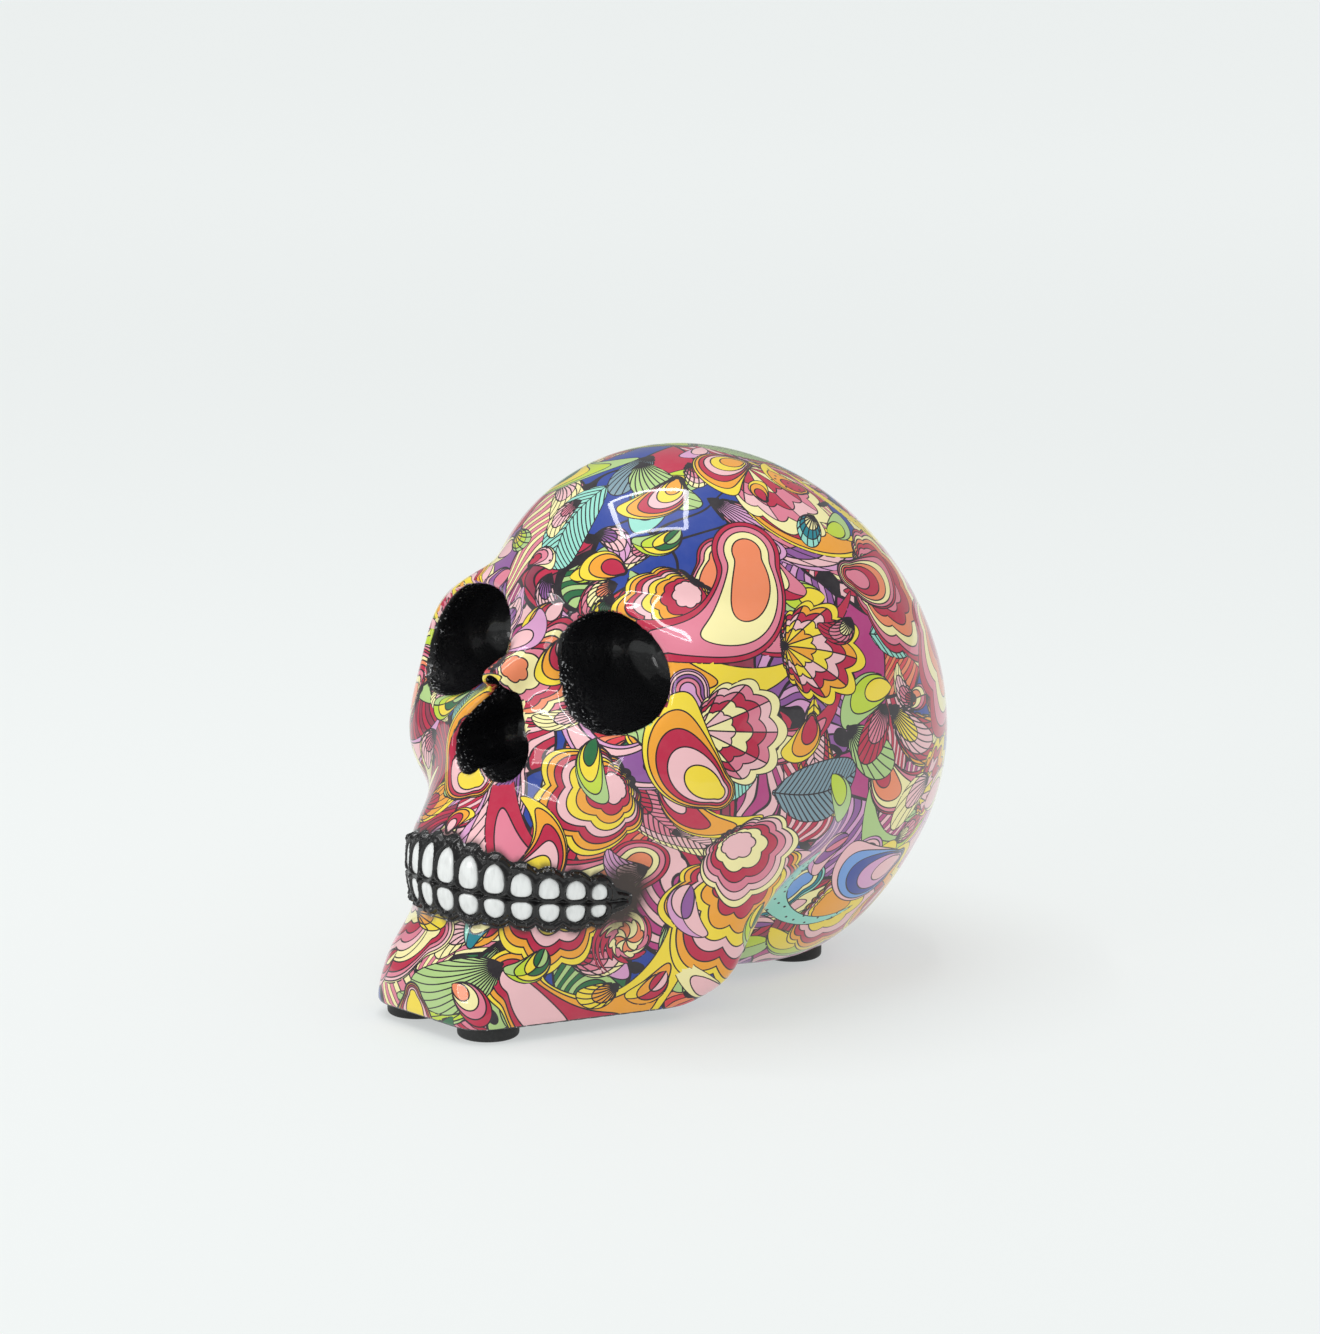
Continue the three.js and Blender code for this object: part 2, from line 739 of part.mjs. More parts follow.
function toothBody(tooth, side, row, margin, front, back, crown) {
  const halfFace = (tooth.pitch - frameWidth) / 2 + margin;
  const height = tooth[row] + 2 * margin;
  const rise = row === "upper" ? 1 : -1;
  const place = (u, v, offset) => {
    const along = side * (tooth.centre + u * halfFace);
    const z = biteHeight(side * tooth.centre) + rise * (biteGap / 2 - margin + v * height);
    return mouthPlace(archAngle(along), z, offset);
  };
  const points = [];
  toothOutlineShares.forEach(([u, v]) => points.push(...place(u, v, front)));
  toothOutlineShares.forEach(([u, v]) => points.push(...place(u, v, back)));
  points.push(...place(0, toothMiddleShare, front + crown));
  points.push(...place(0, toothMiddleShare, back));
  const n = toothOutlineShares.length;
  const triangles = [];
  const turned = side * rise > 0;
  const push = (a, b, c) => triangles.push(...(turned ? [a, b, c] : [a, c, b]));
  for (let i = 0; i < n; i += 1) {
    const next = (i + 1) % n;
    push(2 * n, i, next);
    push(2 * n + 1, n + next, n + i);
    push(i, n + i, next);
    push(next, n + i, n + next);
  }
  return { points: new Float32Array(points), triangles: new Uint32Array(triangles) };
}

const toothFront = bandProud - toothRecess;
const toothPlaces = [];
for (const row of ["upper", "lower"]) {
  for (const side of [1, -1]) {
    for (const tooth of teeth) toothPlaces.push({ row, side, tooth });
  }
}

function toothPocket({ row, side, tooth }) {
  const back = toothFront - toothThickness - toothClearance;
  return solidOf(toothBody(tooth, side, row, toothClearance, bandProud + cutOverrun, back, 0));
}

function toothFace({ row, side, tooth }) {
  const body = toothBody(tooth, side, row, 0, toothFront, toothFront - toothThickness, toothCrown);
  const name = `${row}_tooth_${side > 0 ? "L" : "R"}${tooth.number}`;
  return namedMesh(name, geometryOf(solidOf(body)), enamelColour, enamelRoughness);
}

// A box below the underside, which cuts it flat.
function belowUnderside() {
  const size = castingLength + castingWidth;
  const box = new THREE.BoxGeometry(size, size, castingHeight);
  box.translate(0, 0, underside - castingHeight / 2);
  return solidOfGeometry(box);
}

// The hole from the underside up into the middle of the hollow.
function pourHole() {
  const radius = pourHoleDiameter / 2;
  const bottom = underside - cutOverrun;
  const depth = placed(braincaseShape.centreShares)[2] - bottom;
  const drill = new THREE.CylinderGeometry(radius, radius, depth, roundCount);
  drill.rotateX(Math.PI / 2);
  drill.translate(0, pourHoleSetback, bottom + depth / 2);
  return solidOfGeometry(drill);
}

// A body that cuts an opening into the face: rings of one outline that narrow from the mouth to the floor.
function openingCutter(edge, centreX, centreLevel, mouth, floor, depthShares, narrowShares) {
  const count = roundCount;
  const points = [];
  depthShares.forEach((depth, ring) => {
    for (let i = 0; i < count; i += 1) {
      const [across, up] = edge((2 * Math.PI * i) / count);
      const narrow = narrowShares[ring];
      const y = THREE.MathUtils.lerp(-mouth, -floor, depth);
      points.push(centreX + narrow * across, y, underside + centreLevel + narrow * up);
    }
  });
  const rings = depthShares.length;
  const frontCentre = rings * count;
  points.push(centreX, THREE.MathUtils.lerp(-mouth, -floor, depthShares[0]), underside + centreLevel);
  points.push(centreX, -floor, underside + centreLevel);
  const triangles = [];
  for (let i = 0; i < count; i += 1) {
    const next = (i + 1) % count;
    triangles.push(frontCentre, i, next);
    triangles.push(frontCentre + 1, (rings - 1) * count + next, (rings - 1) * count + i);
    for (let ring = 0; ring < rings - 1; ring += 1) {
      const here = ring * count;
      pushQuad(triangles, points, [here + i, here + count + i, here + count + next, here + next]);
    }
  }
  return solidOf({ points: new Float32Array(points), triangles: new Uint32Array(triangles) });
}

// The left socket's cutter has its outline mirrored for the right one.
function socketCutter(side) {
  const edge = (turn) => {
    const [across, up] = socketEdge(side > 0 ? turn : Math.PI - turn);
    return [side * across, up];
  };
  return openingCutter(
    edge,
    (side * socketSpacing) / 2,
    socketLevel,
    socketMouthSetback,
    socketFloorSetback,
    socketDepthShares,
    socketNarrowShares,
  );
}

const noseCutter = () =>
  openingCutter(
    noseEdge,
    0,
    noseCentreLevel,
    noseMouthSetback,
    noseFloorSetback,
    noseDepthShares,
    noseNarrowShares,
  );

// The casting: outside, mouth band, flat underside, hollow, pour hole and tooth pockets.
function skullShell() {
  let shell = solidOf(skinOf(castingField, castingGrid(faceStep, crownStep)));
  shell = shell.add(mouthBand());
  shell = shell.subtract(belowUnderside());
  shell = shell.subtract(solidOf(skinOf(hollowField, castingGrid(hollowStep, hollowStep))));
  shell = shell.subtract(pourHole());
  shell = shell.subtract(socketCutter(1)).subtract(socketCutter(-1)).subtract(noseCutter());
  for (const place of toothPlaces) shell = shell.subtract(toothPocket(place));
  return namedMesh("skull_shell", geometryOf(shell), resinColour, resinRoughness);
}

// A round rubber foot with a softened lower edge, standing on the table.
function rubberFoot(name, x, y) {
  const radius = footDiameter / 2;
  const round = footEdgeRadius;
  const slant = round * (1 - Math.SQRT1_2);
  const outline = [
    new THREE.Vector2(0, 0),
    new THREE.Vector2(radius - round, 0),
    new THREE.Vector2(radius - slant, slant),
    new THREE.Vector2(radius, round),
    new THREE.Vector2(radius, footHeight),
    new THREE.Vector2(0, footHeight),
  ];
  const lathe = new THREE.LatheGeometry(outline, roundCount);
  lathe.rotateX(Math.PI / 2);
  const mesh = namedMesh(name, geometryOf(solidOfGeometry(lathe)), rubberColour, rubberRoughness);
  mesh.position.set(x, y, 0);
  return mesh;
}

function rubberFeet() {
  const feet = [];
  for (const [word, side] of [
    ["left", 1],
    ["right", -1],
  ]) {
    const frontX = (side * frontFootSpacing) / 2;
    const rearX = (side * rearFootSpacing) / 2;
    feet.push(rubberFoot(`front_foot_${word}`, frontX, faceFront + frontFootInset));
    feet.push(rubberFoot(`rear_foot_${word}`, rearX, rearFootSetback));
  }
  return feet;
}

const skull = new THREE.Group();
skull.name = "resin_skull";
skull.add(skullShell());
for (const place of toothPlaces) skull.add(toothFace(place));
for (const foot of rubberFeet()) skull.add(foot);

export default skull;
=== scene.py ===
# A glossy printed resin skull on four rubber feet. Lengths are in metres, and the face looks along -Y.
import math

import bmesh
import bpy
import numpy as np
from mathutils import Matrix, Vector


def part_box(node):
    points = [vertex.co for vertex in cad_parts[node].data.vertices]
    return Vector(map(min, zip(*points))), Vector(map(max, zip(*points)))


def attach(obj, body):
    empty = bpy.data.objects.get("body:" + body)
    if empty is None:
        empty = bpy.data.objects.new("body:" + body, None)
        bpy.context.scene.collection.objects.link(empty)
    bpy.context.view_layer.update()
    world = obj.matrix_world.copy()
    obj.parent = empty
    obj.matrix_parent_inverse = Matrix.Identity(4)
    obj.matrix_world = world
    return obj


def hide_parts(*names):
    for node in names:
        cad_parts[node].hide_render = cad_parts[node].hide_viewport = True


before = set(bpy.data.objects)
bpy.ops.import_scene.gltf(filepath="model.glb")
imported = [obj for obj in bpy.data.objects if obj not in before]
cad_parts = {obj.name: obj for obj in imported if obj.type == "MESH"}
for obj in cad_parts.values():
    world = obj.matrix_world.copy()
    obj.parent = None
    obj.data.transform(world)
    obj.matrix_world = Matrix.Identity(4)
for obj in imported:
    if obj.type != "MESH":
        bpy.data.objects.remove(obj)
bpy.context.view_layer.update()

bl_info = {
    "name": "Printed Resin Skull",
    "version": (1, 0, 0),
    "blender": (4, 5, 0),
    "location": "View3D > Sidebar > Resin Skull",
    "description": "Builds a glossy resin skull with an all-over print, framed teeth and rubber feet",
    "category": "Object",
}

SHELL_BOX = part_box("skull_shell")

# Casting.
CASTING_WIDTH = 0.106
CASTING_LENGTH = 0.1467
CASTING_HEIGHT = 0.1212
WALL = 0.006
POUR_HOLE_DIAMETER = 0.016
POUR_HOLE_SETBACK = 0.0105
UNDERSIDE = 0.003
HALF_WIDTH = CASTING_WIDTH / 2
FACE_FRONT = -CASTING_LENGTH / 2
LOWER_EDGE_ROUND = 0.0014

# Eye sockets.
SOCKET_SPACING = 0.0498
SOCKET_WIDTH = 0.034
SOCKET_HEIGHT = 0.0249
SOCKET_LEVEL = 0.0785
SOCKET_FLOOR_SETBACK = 0.0186
SOCKET_MOUTH_SETBACK = 0.0384
SOCKET_TILT = math.radians(19.5)
SOCKET_POWER = 2
SOCKET_STEEPNESS = 0.92
SOCKET_RIM_ROUND = 0.002

# Nose opening.
NOSE_APEX_LEVEL = 0.0727
NOSE_LOBE_LEVEL = 0.0593
NOSE_LOBE_SPACING = 0.011
NOSE_LOBE_RADIUS = 0.0068
NOSE_APEX_RADIUS = 0.0026
NOSE_APEX_OFFSET = 0.0002
NOSE_FLOOR_SETBACK = 0.0346
NOSE_MOUTH_SETBACK = 0.0544
NOSE_RIM_ROUND = 0.0018
NOSE_CENTRE_LEVEL = (NOSE_APEX_LEVEL + 2 * NOSE_LOBE_LEVEL) / 3

# Shares of its depth at which an opening narrows, and how wide it is there.
SOCKET_TAPER = ((-1, 0, 0.3, 0.58, 0.8, 0.95, 1.05), (1, 1, 0.9, 0.78, 0.62, 0.38, -0.6))
NOSE_TAPER = ((-1, 0.3, 0.75, 0.95, 1.05), (1, 1, 0.9, 0.7, 0.05))

# Lower face and jaw.
JAW_WIDTH = 0.069
JAW_ANGLE_SETBACK = 0.0246
CHIN_EDGE_RADIUS = 0.006

# Mouth band and teeth.
BITE_LEVEL = 0.0308
BITE_DROP = 0.0036
BITE_GAP = 0.0012
BAND_END_LENGTH = 0.005
FRAME_WIDTH = 0.0012
FRAME_MARGIN = 0.0019
FRAME_NOTCH = 0.0013
TOOTH_PITCH = 0.0062
TOOTH_POWER = 4.5
TOOTH_LEAST_HALF_SHARE = 0.25
UPPER_TOOTH_HEIGHT = 0.008
LOWER_TOOTH_HEIGHT = 0.0055
TOOTH_WIDTH_SHARES = (1, 1, 1, 1, 0.98, 0.95, 0.82)
UPPER_HEIGHT_SHARES = (1, 0.93, 0.83, 0.68, 0.61, 0.56, 0.47)
LOWER_HEIGHT_SHARES = (1, 0.91, 0.84, 0.79, 0.79, 0.76, 0.56)


# Keeps the blends of a squared mass as soft as the others'.
SQUARED_STEEPNESS = 0.85


# Places in shares: across of the half width, along of the length, up of the height above the underside.
def placed(shares):
    return (
        shares[0] * HALF_WIDTH,
        shares[1] * CASTING_LENGTH,
        UNDERSIDE + shares[2] * CASTING_HEIGHT,
    )


def joined(a, b, blend):
    share = np.clip(0.5 + 0.5 * (b - a) / blend, 0, 1)
    return b + (a - b) * share - blend * share * (1 - share)


def overlapped(a, b, blend):
    return -joined(-a, -b, blend)


def carved(a, b, blend):
    return overlapped(a, -b, blend)


def radii(shares):
    return shares[0] * HALF_WIDTH, shares[1] * CASTING_LENGTH, shares[2] * CASTING_HEIGHT


def ellipsoid(p, centre_shares, radius_shares, tilt=0.0):
    (cx, cy, cz), (rx, ry, rz) = placed(centre_shares), radii(radius_shares)
    x, y, z = p
    cos, sin = math.cos(tilt), math.sin(tilt)
    u = (x - cx) / rx
    v = ((y - cy) * cos + (z - cz) * sin) / ry
    w = ((z - cz) * cos - (y - cy) * sin) / rz
    level = np.sqrt(u * u + v * v + w * w)
    slope = np.sqrt((u / rx) ** 2 + (v / ry) ** 2 + (w / rz) ** 2)
    return level * (level - 1) / np.maximum(slope, 1e-6)


def squared_ellipsoid(p, centre_shares, radius_shares, plan_power, height_power):
    (cx, cy, cz), (rx, ry, rz) = placed(centre_shares), radii(radius_shares)
    x, y, z = p
    plan = np.abs((x - cx) / rx) ** plan_power + np.abs((y - cy) / ry) ** plan_power
    total = plan ** (height_power / plan_power) + np.abs((z - cz) / rz) ** height_power
    level = np.maximum(total ** (1 / height_power), 1e-6)
    reach = np.sqrt((x - cx) ** 2 + (y - cy) ** 2 + (z - cz) ** 2)
    return reach * (1 - 1 / level) * SQUARED_STEEPNESS


def bar(p, start_shares, end_shares, thickness_shares):
    x, y, z = p
    sx, sy, sz = placed(start_shares)
    ex, ey, ez = placed(end_shares)
    rx, ry, rz = ex - sx, ey - sy, ez - sz
    t = ((x - sx) * rx + (y - sy) * ry + (z - sz) * rz) / (rx * rx + ry * ry + rz * rz)
    t = np.clip(t, 0, 1)
    gap = np.sqrt((x - sx - t * rx) ** 2 + (y - sy - t * ry) ** 2 + (z - sz - t * rz) ** 2)
    start_radius, end_radius = (share * CASTING_HEIGHT for share in thickness_shares)
    return gap - (start_radius + (end_radius - start_radius) * t)


# A smooth curve through values at rising heights, level at both ends.
def smooth_profile(heights, values, h):
    heights = np.array(heights)
    values = np.array(values)
    slopes = np.zeros(len(values))
    slopes[1:-1] = (values[2:] - values[:-2]) / (heights[2:] - heights[:-2])
    h = np.clip(h, heights[0], heights[-1])
    i = np.clip(np.searchsorted(heights, h, side="left") - 1, 0, len(heights) - 2)
    span = heights[i + 1] - heights[i]
    t = (h - heights[i]) / span
    rise = t * t * (3 - 2 * t)
    leave = slopes[i] * span * t * (1 - t) ** 2
    arrive = slopes[i + 1] * span * t * t * (t - 1)
    return values[i] + (values[i + 1] - values[i]) * rise + leave + arrive


# Masses of the upper skull in shares, each with how softly it runs into the ones before it.
BRAINCASE = ([0, 0.1102, 0.5064], [1, 0.3565, 0.5292], math.radians(38.5))
UPPER_MASSES = (
    (ellipsoid, ([0, 0.1316, 0.1815], [0.566, 0.2318, 0.2142]), 0.1319),
    (squared_ellipsoid, ([0, 0.0131, 0.5605], [0.9375, 0.2758, 0.2204], 5.11, 3.48), 0.0302),
    (bar, ([0, -0.0582, 0.7114], [0.4829, -0.2104, 0.69], [0.0459, 0.0576]), 0.0754),
    (bar, ([0, -0.2205, 0.7578], [0, -0.1988, 0.6851], [0.0472, 0.0327]), 0.0494),
    (bar, ([0, -0.1988, 0.6851], [0, -0.334, 0.6062], [0.0327, 0.0357]), 0.0417),
    (ellipsoid, ([0, -0.2166, 0.4952], [0.445, 0.1452, 0.1214]), 0.0589),
    (ellipsoid, ([0.5872, -0.0884, 0.447], [0.2462, 0.2254, 0.1404]), 0.1521),
    (bar, ([0.79, -0.1777, 0.4269], [0.885, -0.0046, 0.363], [0.0575, 0.0417]), 0.09),
)
RAMUS = ([0.735, -0.0996, 0.3382], [0.62, -0.1268, 0.1071], [0.0655, 0.0575])
RAMUS_BLEND_SHARE = 0.0992
JAW_JOIN_SHARE = 0.1

COLUMN_HEIGHT_SHARES = (0, 0.085, 0.172, 0.2479, 0.3213, 0.4542, 0.602)
COLUMN_SETBACK_SHARES = (0, 0, 0.0307, 0.0265, 0.0375, 0.1261, 0.1669)
COLUMN_WIDTH_SHARES = (1, 0.998, 0.995, 1.038, 1.014, 0.855, 0.783)
COLUMN_ROUNDING_SHARES = (0, 0.35, 0.88, 1, 1, 1, 1)
COLUMN_FLARE = 0.33
COLUMN_FULL_ROUNDING_SHARE = 0.216
COLUMN_NOSE_SHARE = 0.024
COLUMN_TOP_SHARE = 0.507
COLUMN_BACK_SHARE = 0.015
COLUMN_END_BLEND_SHARE = 0.075
JAW_BACK_SLOPE = 0.75
JAW_BACK_REACH_SHARE = 0.1
JAW_BACK_LEVEL_SHARE = 0.0915
JAW_BACK_BLEND_SHARE = 0.05
HOLLOW_BLEND_SHARE = 0.05


# The lower face: a column from the chin to the nose, cut off behind along the back edge of the jaw.
def lower_face(p):
    x, y, z = p
    heights = [UNDERSIDE + share * CASTING_HEIGHT for share in COLUMN_HEIGHT_SHARES]
    fronts = [FACE_FRONT + share * CASTING_LENGTH for share in COLUMN_SETBACK_SHARES]
    halves = [share * JAW_WIDTH / 2 for share in COLUMN_WIDTH_SHARES]
    full = COLUMN_FULL_ROUNDING_SHARE * CASTING_HEIGHT
    rounds = [CHIN_EDGE_RADIUS + (full - CHIN_EDGE_RADIUS) * s for s in COLUMN_ROUNDING_SHARES]
    soft = np.hypot(x, COLUMN_NOSE_SHARE * CASTING_LENGTH)
    half = smooth_profile(heights, halves, z)
    side = (soft - half - COLUMN_FLARE * (y + JAW_ANGLE_SETBACK)) / math.hypot(1, COLUMN_FLARE)
    end_blend = COLUMN_END_BLEND_SHARE * CASTING_HEIGHT
    top = z - UNDERSIDE - COLUMN_TOP_SHARE * CASTING_HEIGHT
    back = y + COLUMN_BACK_SHARE * CASTING_LENGTH
    front = smooth_profile(heights, fronts, z) - y
    column = overlapped(side, front, smooth_profile(heights, rounds, z))
    column = overlapped(column, overlapped(top, back, end_blend), end_blend)
    lean = z - UNDERSIDE - JAW_BACK_LEVEL_SHARE * CASTING_HEIGHT
    reach = y + JAW_BACK_REACH_SHARE * CASTING_LENGTH
    jaw_back = (reach - JAW_BACK_SLOPE * lean) / math.hypot(1, JAW_BACK_SLOPE)
    return overlapped(column, jaw_back, JAW_BACK_BLEND_SHARE * CASTING_HEIGHT)


# The outside of the casting without its openings, negative inside.
def casting_field(p):
    p = (np.abs(p[0]), p[1], p[2])
    field = ellipsoid(p, *BRAINCASE)
    for shape, values, blend_share in UPPER_MASSES:
        field = joined(field, shape(p, *values), blend_share * CASTING_HEIGHT)
    field = joined(field, lower_face(p), JAW_JOIN_SHARE * CASTING_HEIGHT)
    return joined(field, bar(p, *RAMUS), RAMUS_BLEND_SHARE * CASTING_HEIGHT)


# Height of the socket's outline over a place: 1 on the rim, less inside it.
def socket_level(p):
    x, _, z = p
    across = np.abs(x) - SOCKET_SPACING / 2
    up = z - UNDERSIDE - SOCKET_LEVEL
    u = across * math.cos(SOCKET_TILT) - up * math.sin(SOCKET_TILT)
    v = across * math.sin(SOCKET_TILT) + up * math.cos(SOCKET_TILT)
    total = np.abs(2 * u / SOCKET_WIDTH) ** SOCKET_POWER
    total = total + np.abs(2 * v / SOCKET_HEIGHT) ** SOCKET_POWER
    return total ** (1 / SOCKET_POWER)


def socket_field(p):
    depth = (p[1] + SOCKET_MOUTH_SETBACK) / (SOCKET_MOUTH_SETBACK - SOCKET_FLOOR_SETBACK)
    narrow = np.interp(depth, *SOCKET_TAPER)
    return (socket_level(p) - narrow) * (SOCKET_WIDTH + SOCKET_HEIGHT) / 4 * SOCKET_STEEPNESS


# Distance across the face from the nose opening's outline, negative inside it.
def nose_outline(across, up):
    run_x = NOSE_LOBE_SPACING / 2 - NOSE_APEX_OFFSET
    run_z = NOSE_LOBE_LEVEL - NOSE_APEX_LEVEL
    dx = np.abs(across) - NOSE_APEX_OFFSET
    dz = up - NOSE_APEX_LEVEL
    t = np.clip((dx * run_x + dz * run_z) / (run_x**2 + run_z**2), 0, 1)
    radius = NOSE_APEX_RADIUS + (NOSE_LOBE_RADIUS - NOSE_APEX_RADIUS) * t
    return np.hypot(dx - t * run_x, dz - t * run_z) - radius


def nose_field(p):
    x, y, z = p
    depth = (y + NOSE_MOUTH_SETBACK) / (NOSE_MOUTH_SETBACK - NOSE_FLOOR_SETBACK)
    narrow = np.interp(depth, *NOSE_TAPER)
    up = NOSE_CENTRE_LEVEL + (z - UNDERSIDE - NOSE_CENTRE_LEVEL) / narrow
    return nose_outline(x / narrow, up) * narrow


def hollow_field(p, outside):
    x, y, z = np.abs(p[0]), p[1], p[2]
    up = z - UNDERSIDE
    blend = HOLLOW_BLEND_SHARE * CASTING_HEIGHT
    shell = overlapped(outside, ellipsoid(p, *BRAINCASE), blend) + WALL
    socket_side = np.hypot(x - SOCKET_SPACING / 2, up - SOCKET_LEVEL) - SOCKET_WIDTH / 2
    socket = np.maximum(socket_side, y + SOCKET_FLOOR_SETBACK)
    nose_side = np.hypot(x, up - NOSE_CENTRE_LEVEL) - NOSE_LOBE_SPACING / 2 - NOSE_LOBE_RADIUS
    nose = np.maximum(nose_side, y + NOSE_FLOOR_SETBACK)
    return carved(shell, np.minimum(socket, nose) - WALL, blend)


# The whole casting with its rounded rims, its flat underside, its hollow and its pour hole.
def shell_field(p):
    outside = casting_field(p)
    field = carved(outside, socket_field(p), SOCKET_RIM_ROUND)
    field = carved(field, nose_field(p), NOSE_RIM_ROUND)
    field = overlapped(field, UNDERSIDE - p[2], LOWER_EDGE_ROUND)
    hole = np.hypot(p[0], p[1] - POUR_HOLE_SETBACK) - POUR_HOLE_DIAMETER / 2
    hole = np.maximum(hole, p[2] - placed(BRAINCASE[0])[2])
    field = carved(field, hole, LOWER_EDGE_ROUND)
    return np.maximum(field, -hollow_field(p, outside))


# Grid corners inside a field, with corners added until no cell or cell face holds two touching surfaces.
def filled_corners(inside):
    def corner(shift):
        return tuple(slice(s, inside.shape[n] - 1 + s) for n, s in enumerate(shift))

    while True:
        before = int(inside.sum())
        for a, b in ((0, 1), (0, 2), (1, 2)):
            for other in (0, 1):
                marks = []
                for first, second in ((0, 0), (1, 0), (1, 1), (0, 1)):
                    shift = [other, other, other]
                    shift[a], shift[b] = first, second
                    marks.append(inside[corner(shift)])
                marks[1] |= marks[0] & marks[2] & ~marks[1] & ~marks[3]
                marks[0] |= marks[1] & marks[3] & ~marks[0] & ~marks[2]
        if int(inside.sum()) == before:
            return inside


def field_slope(field, points, probe):
    slope = np.zeros_like(points)
    for axis in range(3):
        step = np.zeros(3)
        step[axis] = probe
        ahead, behind = points + step, points - step
        slope[:, axis] = (field(tuple(ahead.T)) - field(tuple(behind.T))) / (2 * probe)
    return slope


# The closed surface where a field is zero: one point in each grid cell that it crosses, joined by quads.
def skin_of(field, low, high, step):
    axes = [np.arange(a - 1.5 * step, b + 2.5 * step, step) for a, b in zip(low, high)]
    nx, ny, nz = (len(axis) for axis in axes)
    values = np.empty((nx, ny, nz), np.float32)
    plane_y, plane_z = np.meshgrid(axes[1], axes[2], indexing="ij")
    for start in range(0, nx, 8):
        xs = axes[0][start : start + 8, None, None]
        block = (xs + 0 * plane_y, plane_y + 0 * xs, plane_z + 0 * xs)
        values[start : start + 8] = field(block)
    inside = filled_corners(values < 0)
    shape = (nx - 1, ny - 1, nz - 1)
    total = np.zeros(shape + (3,), np.float32)
    count = np.zeros(shape, np.int16)
    crossings = []
    for axis in range(3):
        near = [slice(None)] * 3
        far = [slice(None)] * 3
        near[axis], far[axis] = slice(0, -1), slice(1, None)
        a, b = values[tuple(near)], values[tuple(far)]
        crossed = inside[tuple(near)] != inside[tuple(far)]
        crossings.append((crossed, inside[tuple(near)]))
        share = np.abs(a) / np.maximum(np.abs(a) + np.abs(b), 1e-9)
        place = np.zeros(crossed.shape + (3,), np.float32)
        for n in range(3):
            line = axes[n][:-1] if n == axis else axes[n]
            place[..., n] = line.reshape([-1 if m == n else 1 for m in range(3)])
        place[..., axis] += share * step
        place *= crossed[..., None]
        one, two = (axis + 1) % 3, (axis + 2) % 3
        for shift_one in (0, 1):
            for shift_two in (0, 1):
                part = [slice(None)] * 3
                part[one] = slice(shift_one, shape[one] + shift_one)
                part[two] = slice(shift_two, shape[two] + shift_two)
                total += place[tuple(part)]
                count += crossed[tuple(part)]
    cells = np.argwhere(count > 0)
    number = np.full(shape, -1, np.int64)
    number[count > 0] = np.arange(len(cells))
    points = (total[count > 0] / count[count > 0][:, None]).astype(float)
    floor = np.stack([axes[n][cells[:, n]] for n in range(3)], 1)
    for _ in range(3):
        slope = field_slope(field, points, step * 0.02)
        squared = np.maximum((slope**2).sum(1), 1e-6)
        points -= (field(tuple(points.T)) / squared)[:, None] * slope
        points = np.clip(points, floor + 0.02 * step, floor + 0.98 * step)
    quads = []
    for axis, (crossed, start_inside) in enumerate(crossings):
        one, two = (axis + 1) % 3, (axis + 2) % 3
        at = np.argwhere(crossed)
        out = start_inside[crossed]
        ring = []
        for back_one, back_two in ((1, 1), (0, 1), (0, 0), (1, 0)):
            cell = at.copy()
            cell[:, one] -= back_one
            cell[:, two] -= back_two
            ring.append(number[cell[:, 0], cell[:, 1], cell[:, 2]])
        ring = np.stack(ring, 1)
        ring[~out] = ring[~out][:, ::-1]
        quads.append(ring)
    return points, np.concatenate(quads)


# Mouth: places on the face along level rays that fan out from a centre inside the jaw.
FAN_SETBACK = 0.24 * CASTING_LENGTH
ARCH_REACH = math.radians(115)


def ray_place(angle, z, radius):
    return (np.sin(angle) * radius, -FAN_SETBACK - np.cos(angle) * radius, z)


# The face's surface along each ray, found by stepping in from outside and halving.
def face_radius(angle, z):
    angle, z = np.broadcast_arrays(np.asarray(angle, float), np.asarray(z, float))
    step = 0.002
    outer = np.full(angle.shape, CASTING_LENGTH / 2)
    for _ in range(40):
        clear = casting_field(ray_place(angle, z, outer)) > 0
        outer = np.where(clear, outer - step, outer)
    low, high = outer, outer + step
    for _ in range(14):
        middle = (low + high) / 2
        clear = casting_field(ray_place(angle, z, middle)) > 0
        high = np.where(clear, middle, high)
        low = np.where(clear, low, middle)
    return (low + high) / 2


def arch_table():
    angles = np.linspace(0, ARCH_REACH, 121)
    level = np.full(len(angles), UNDERSIDE + BITE_LEVEL)
    places = np.stack(ray_place(angles, level, face_radius(angles, level)), 1)
    lengths = np.concatenate([[0], np.cumsum(np.linalg.norm(np.diff(places, axis=0), axis=1))])
    return angles, lengths


ARCH_ANGLES, ARCH_LENGTHS = arch_table()


def arch_angle(along):
    return np.sign(along) * np.interp(np.abs(along), ARCH_LENGTHS, ARCH_ANGLES)


# Teeth of one side from the middle back: the middle of each, its pitch and its height in each row.
def tooth_list():
    teeth = []
    edge = 0.0
    for i, share in enumerate(TOOTH_WIDTH_SHARES):
        pitch = TOOTH_PITCH * share
        upper = UPPER_TOOTH_HEIGHT * UPPER_HEIGHT_SHARES[i]
        lower = LOWER_TOOTH_HEIGHT * LOWER_HEIGHT_SHARES[i]
        teeth.append({"centre": edge + pitch / 2, "pitch": pitch, "upper": upper, "lower": lower})
        edge += pitch
    return teeth


TEETH = tooth_list()
ROW_LENGTH = TEETH[-1]["centre"] + TEETH[-1]["pitch"] / 2
BAND_LENGTH = ROW_LENGTH + BAND_END_LENGTH
BAND_TIP_SHARE = 0.35
BAND_TIP_SLOPE = 0.8


def bite_height(along):
    return UNDERSIDE + BITE_LEVEL - BITE_DROP * np.minimum(np.abs(along) / ROW_LENGTH, 1)


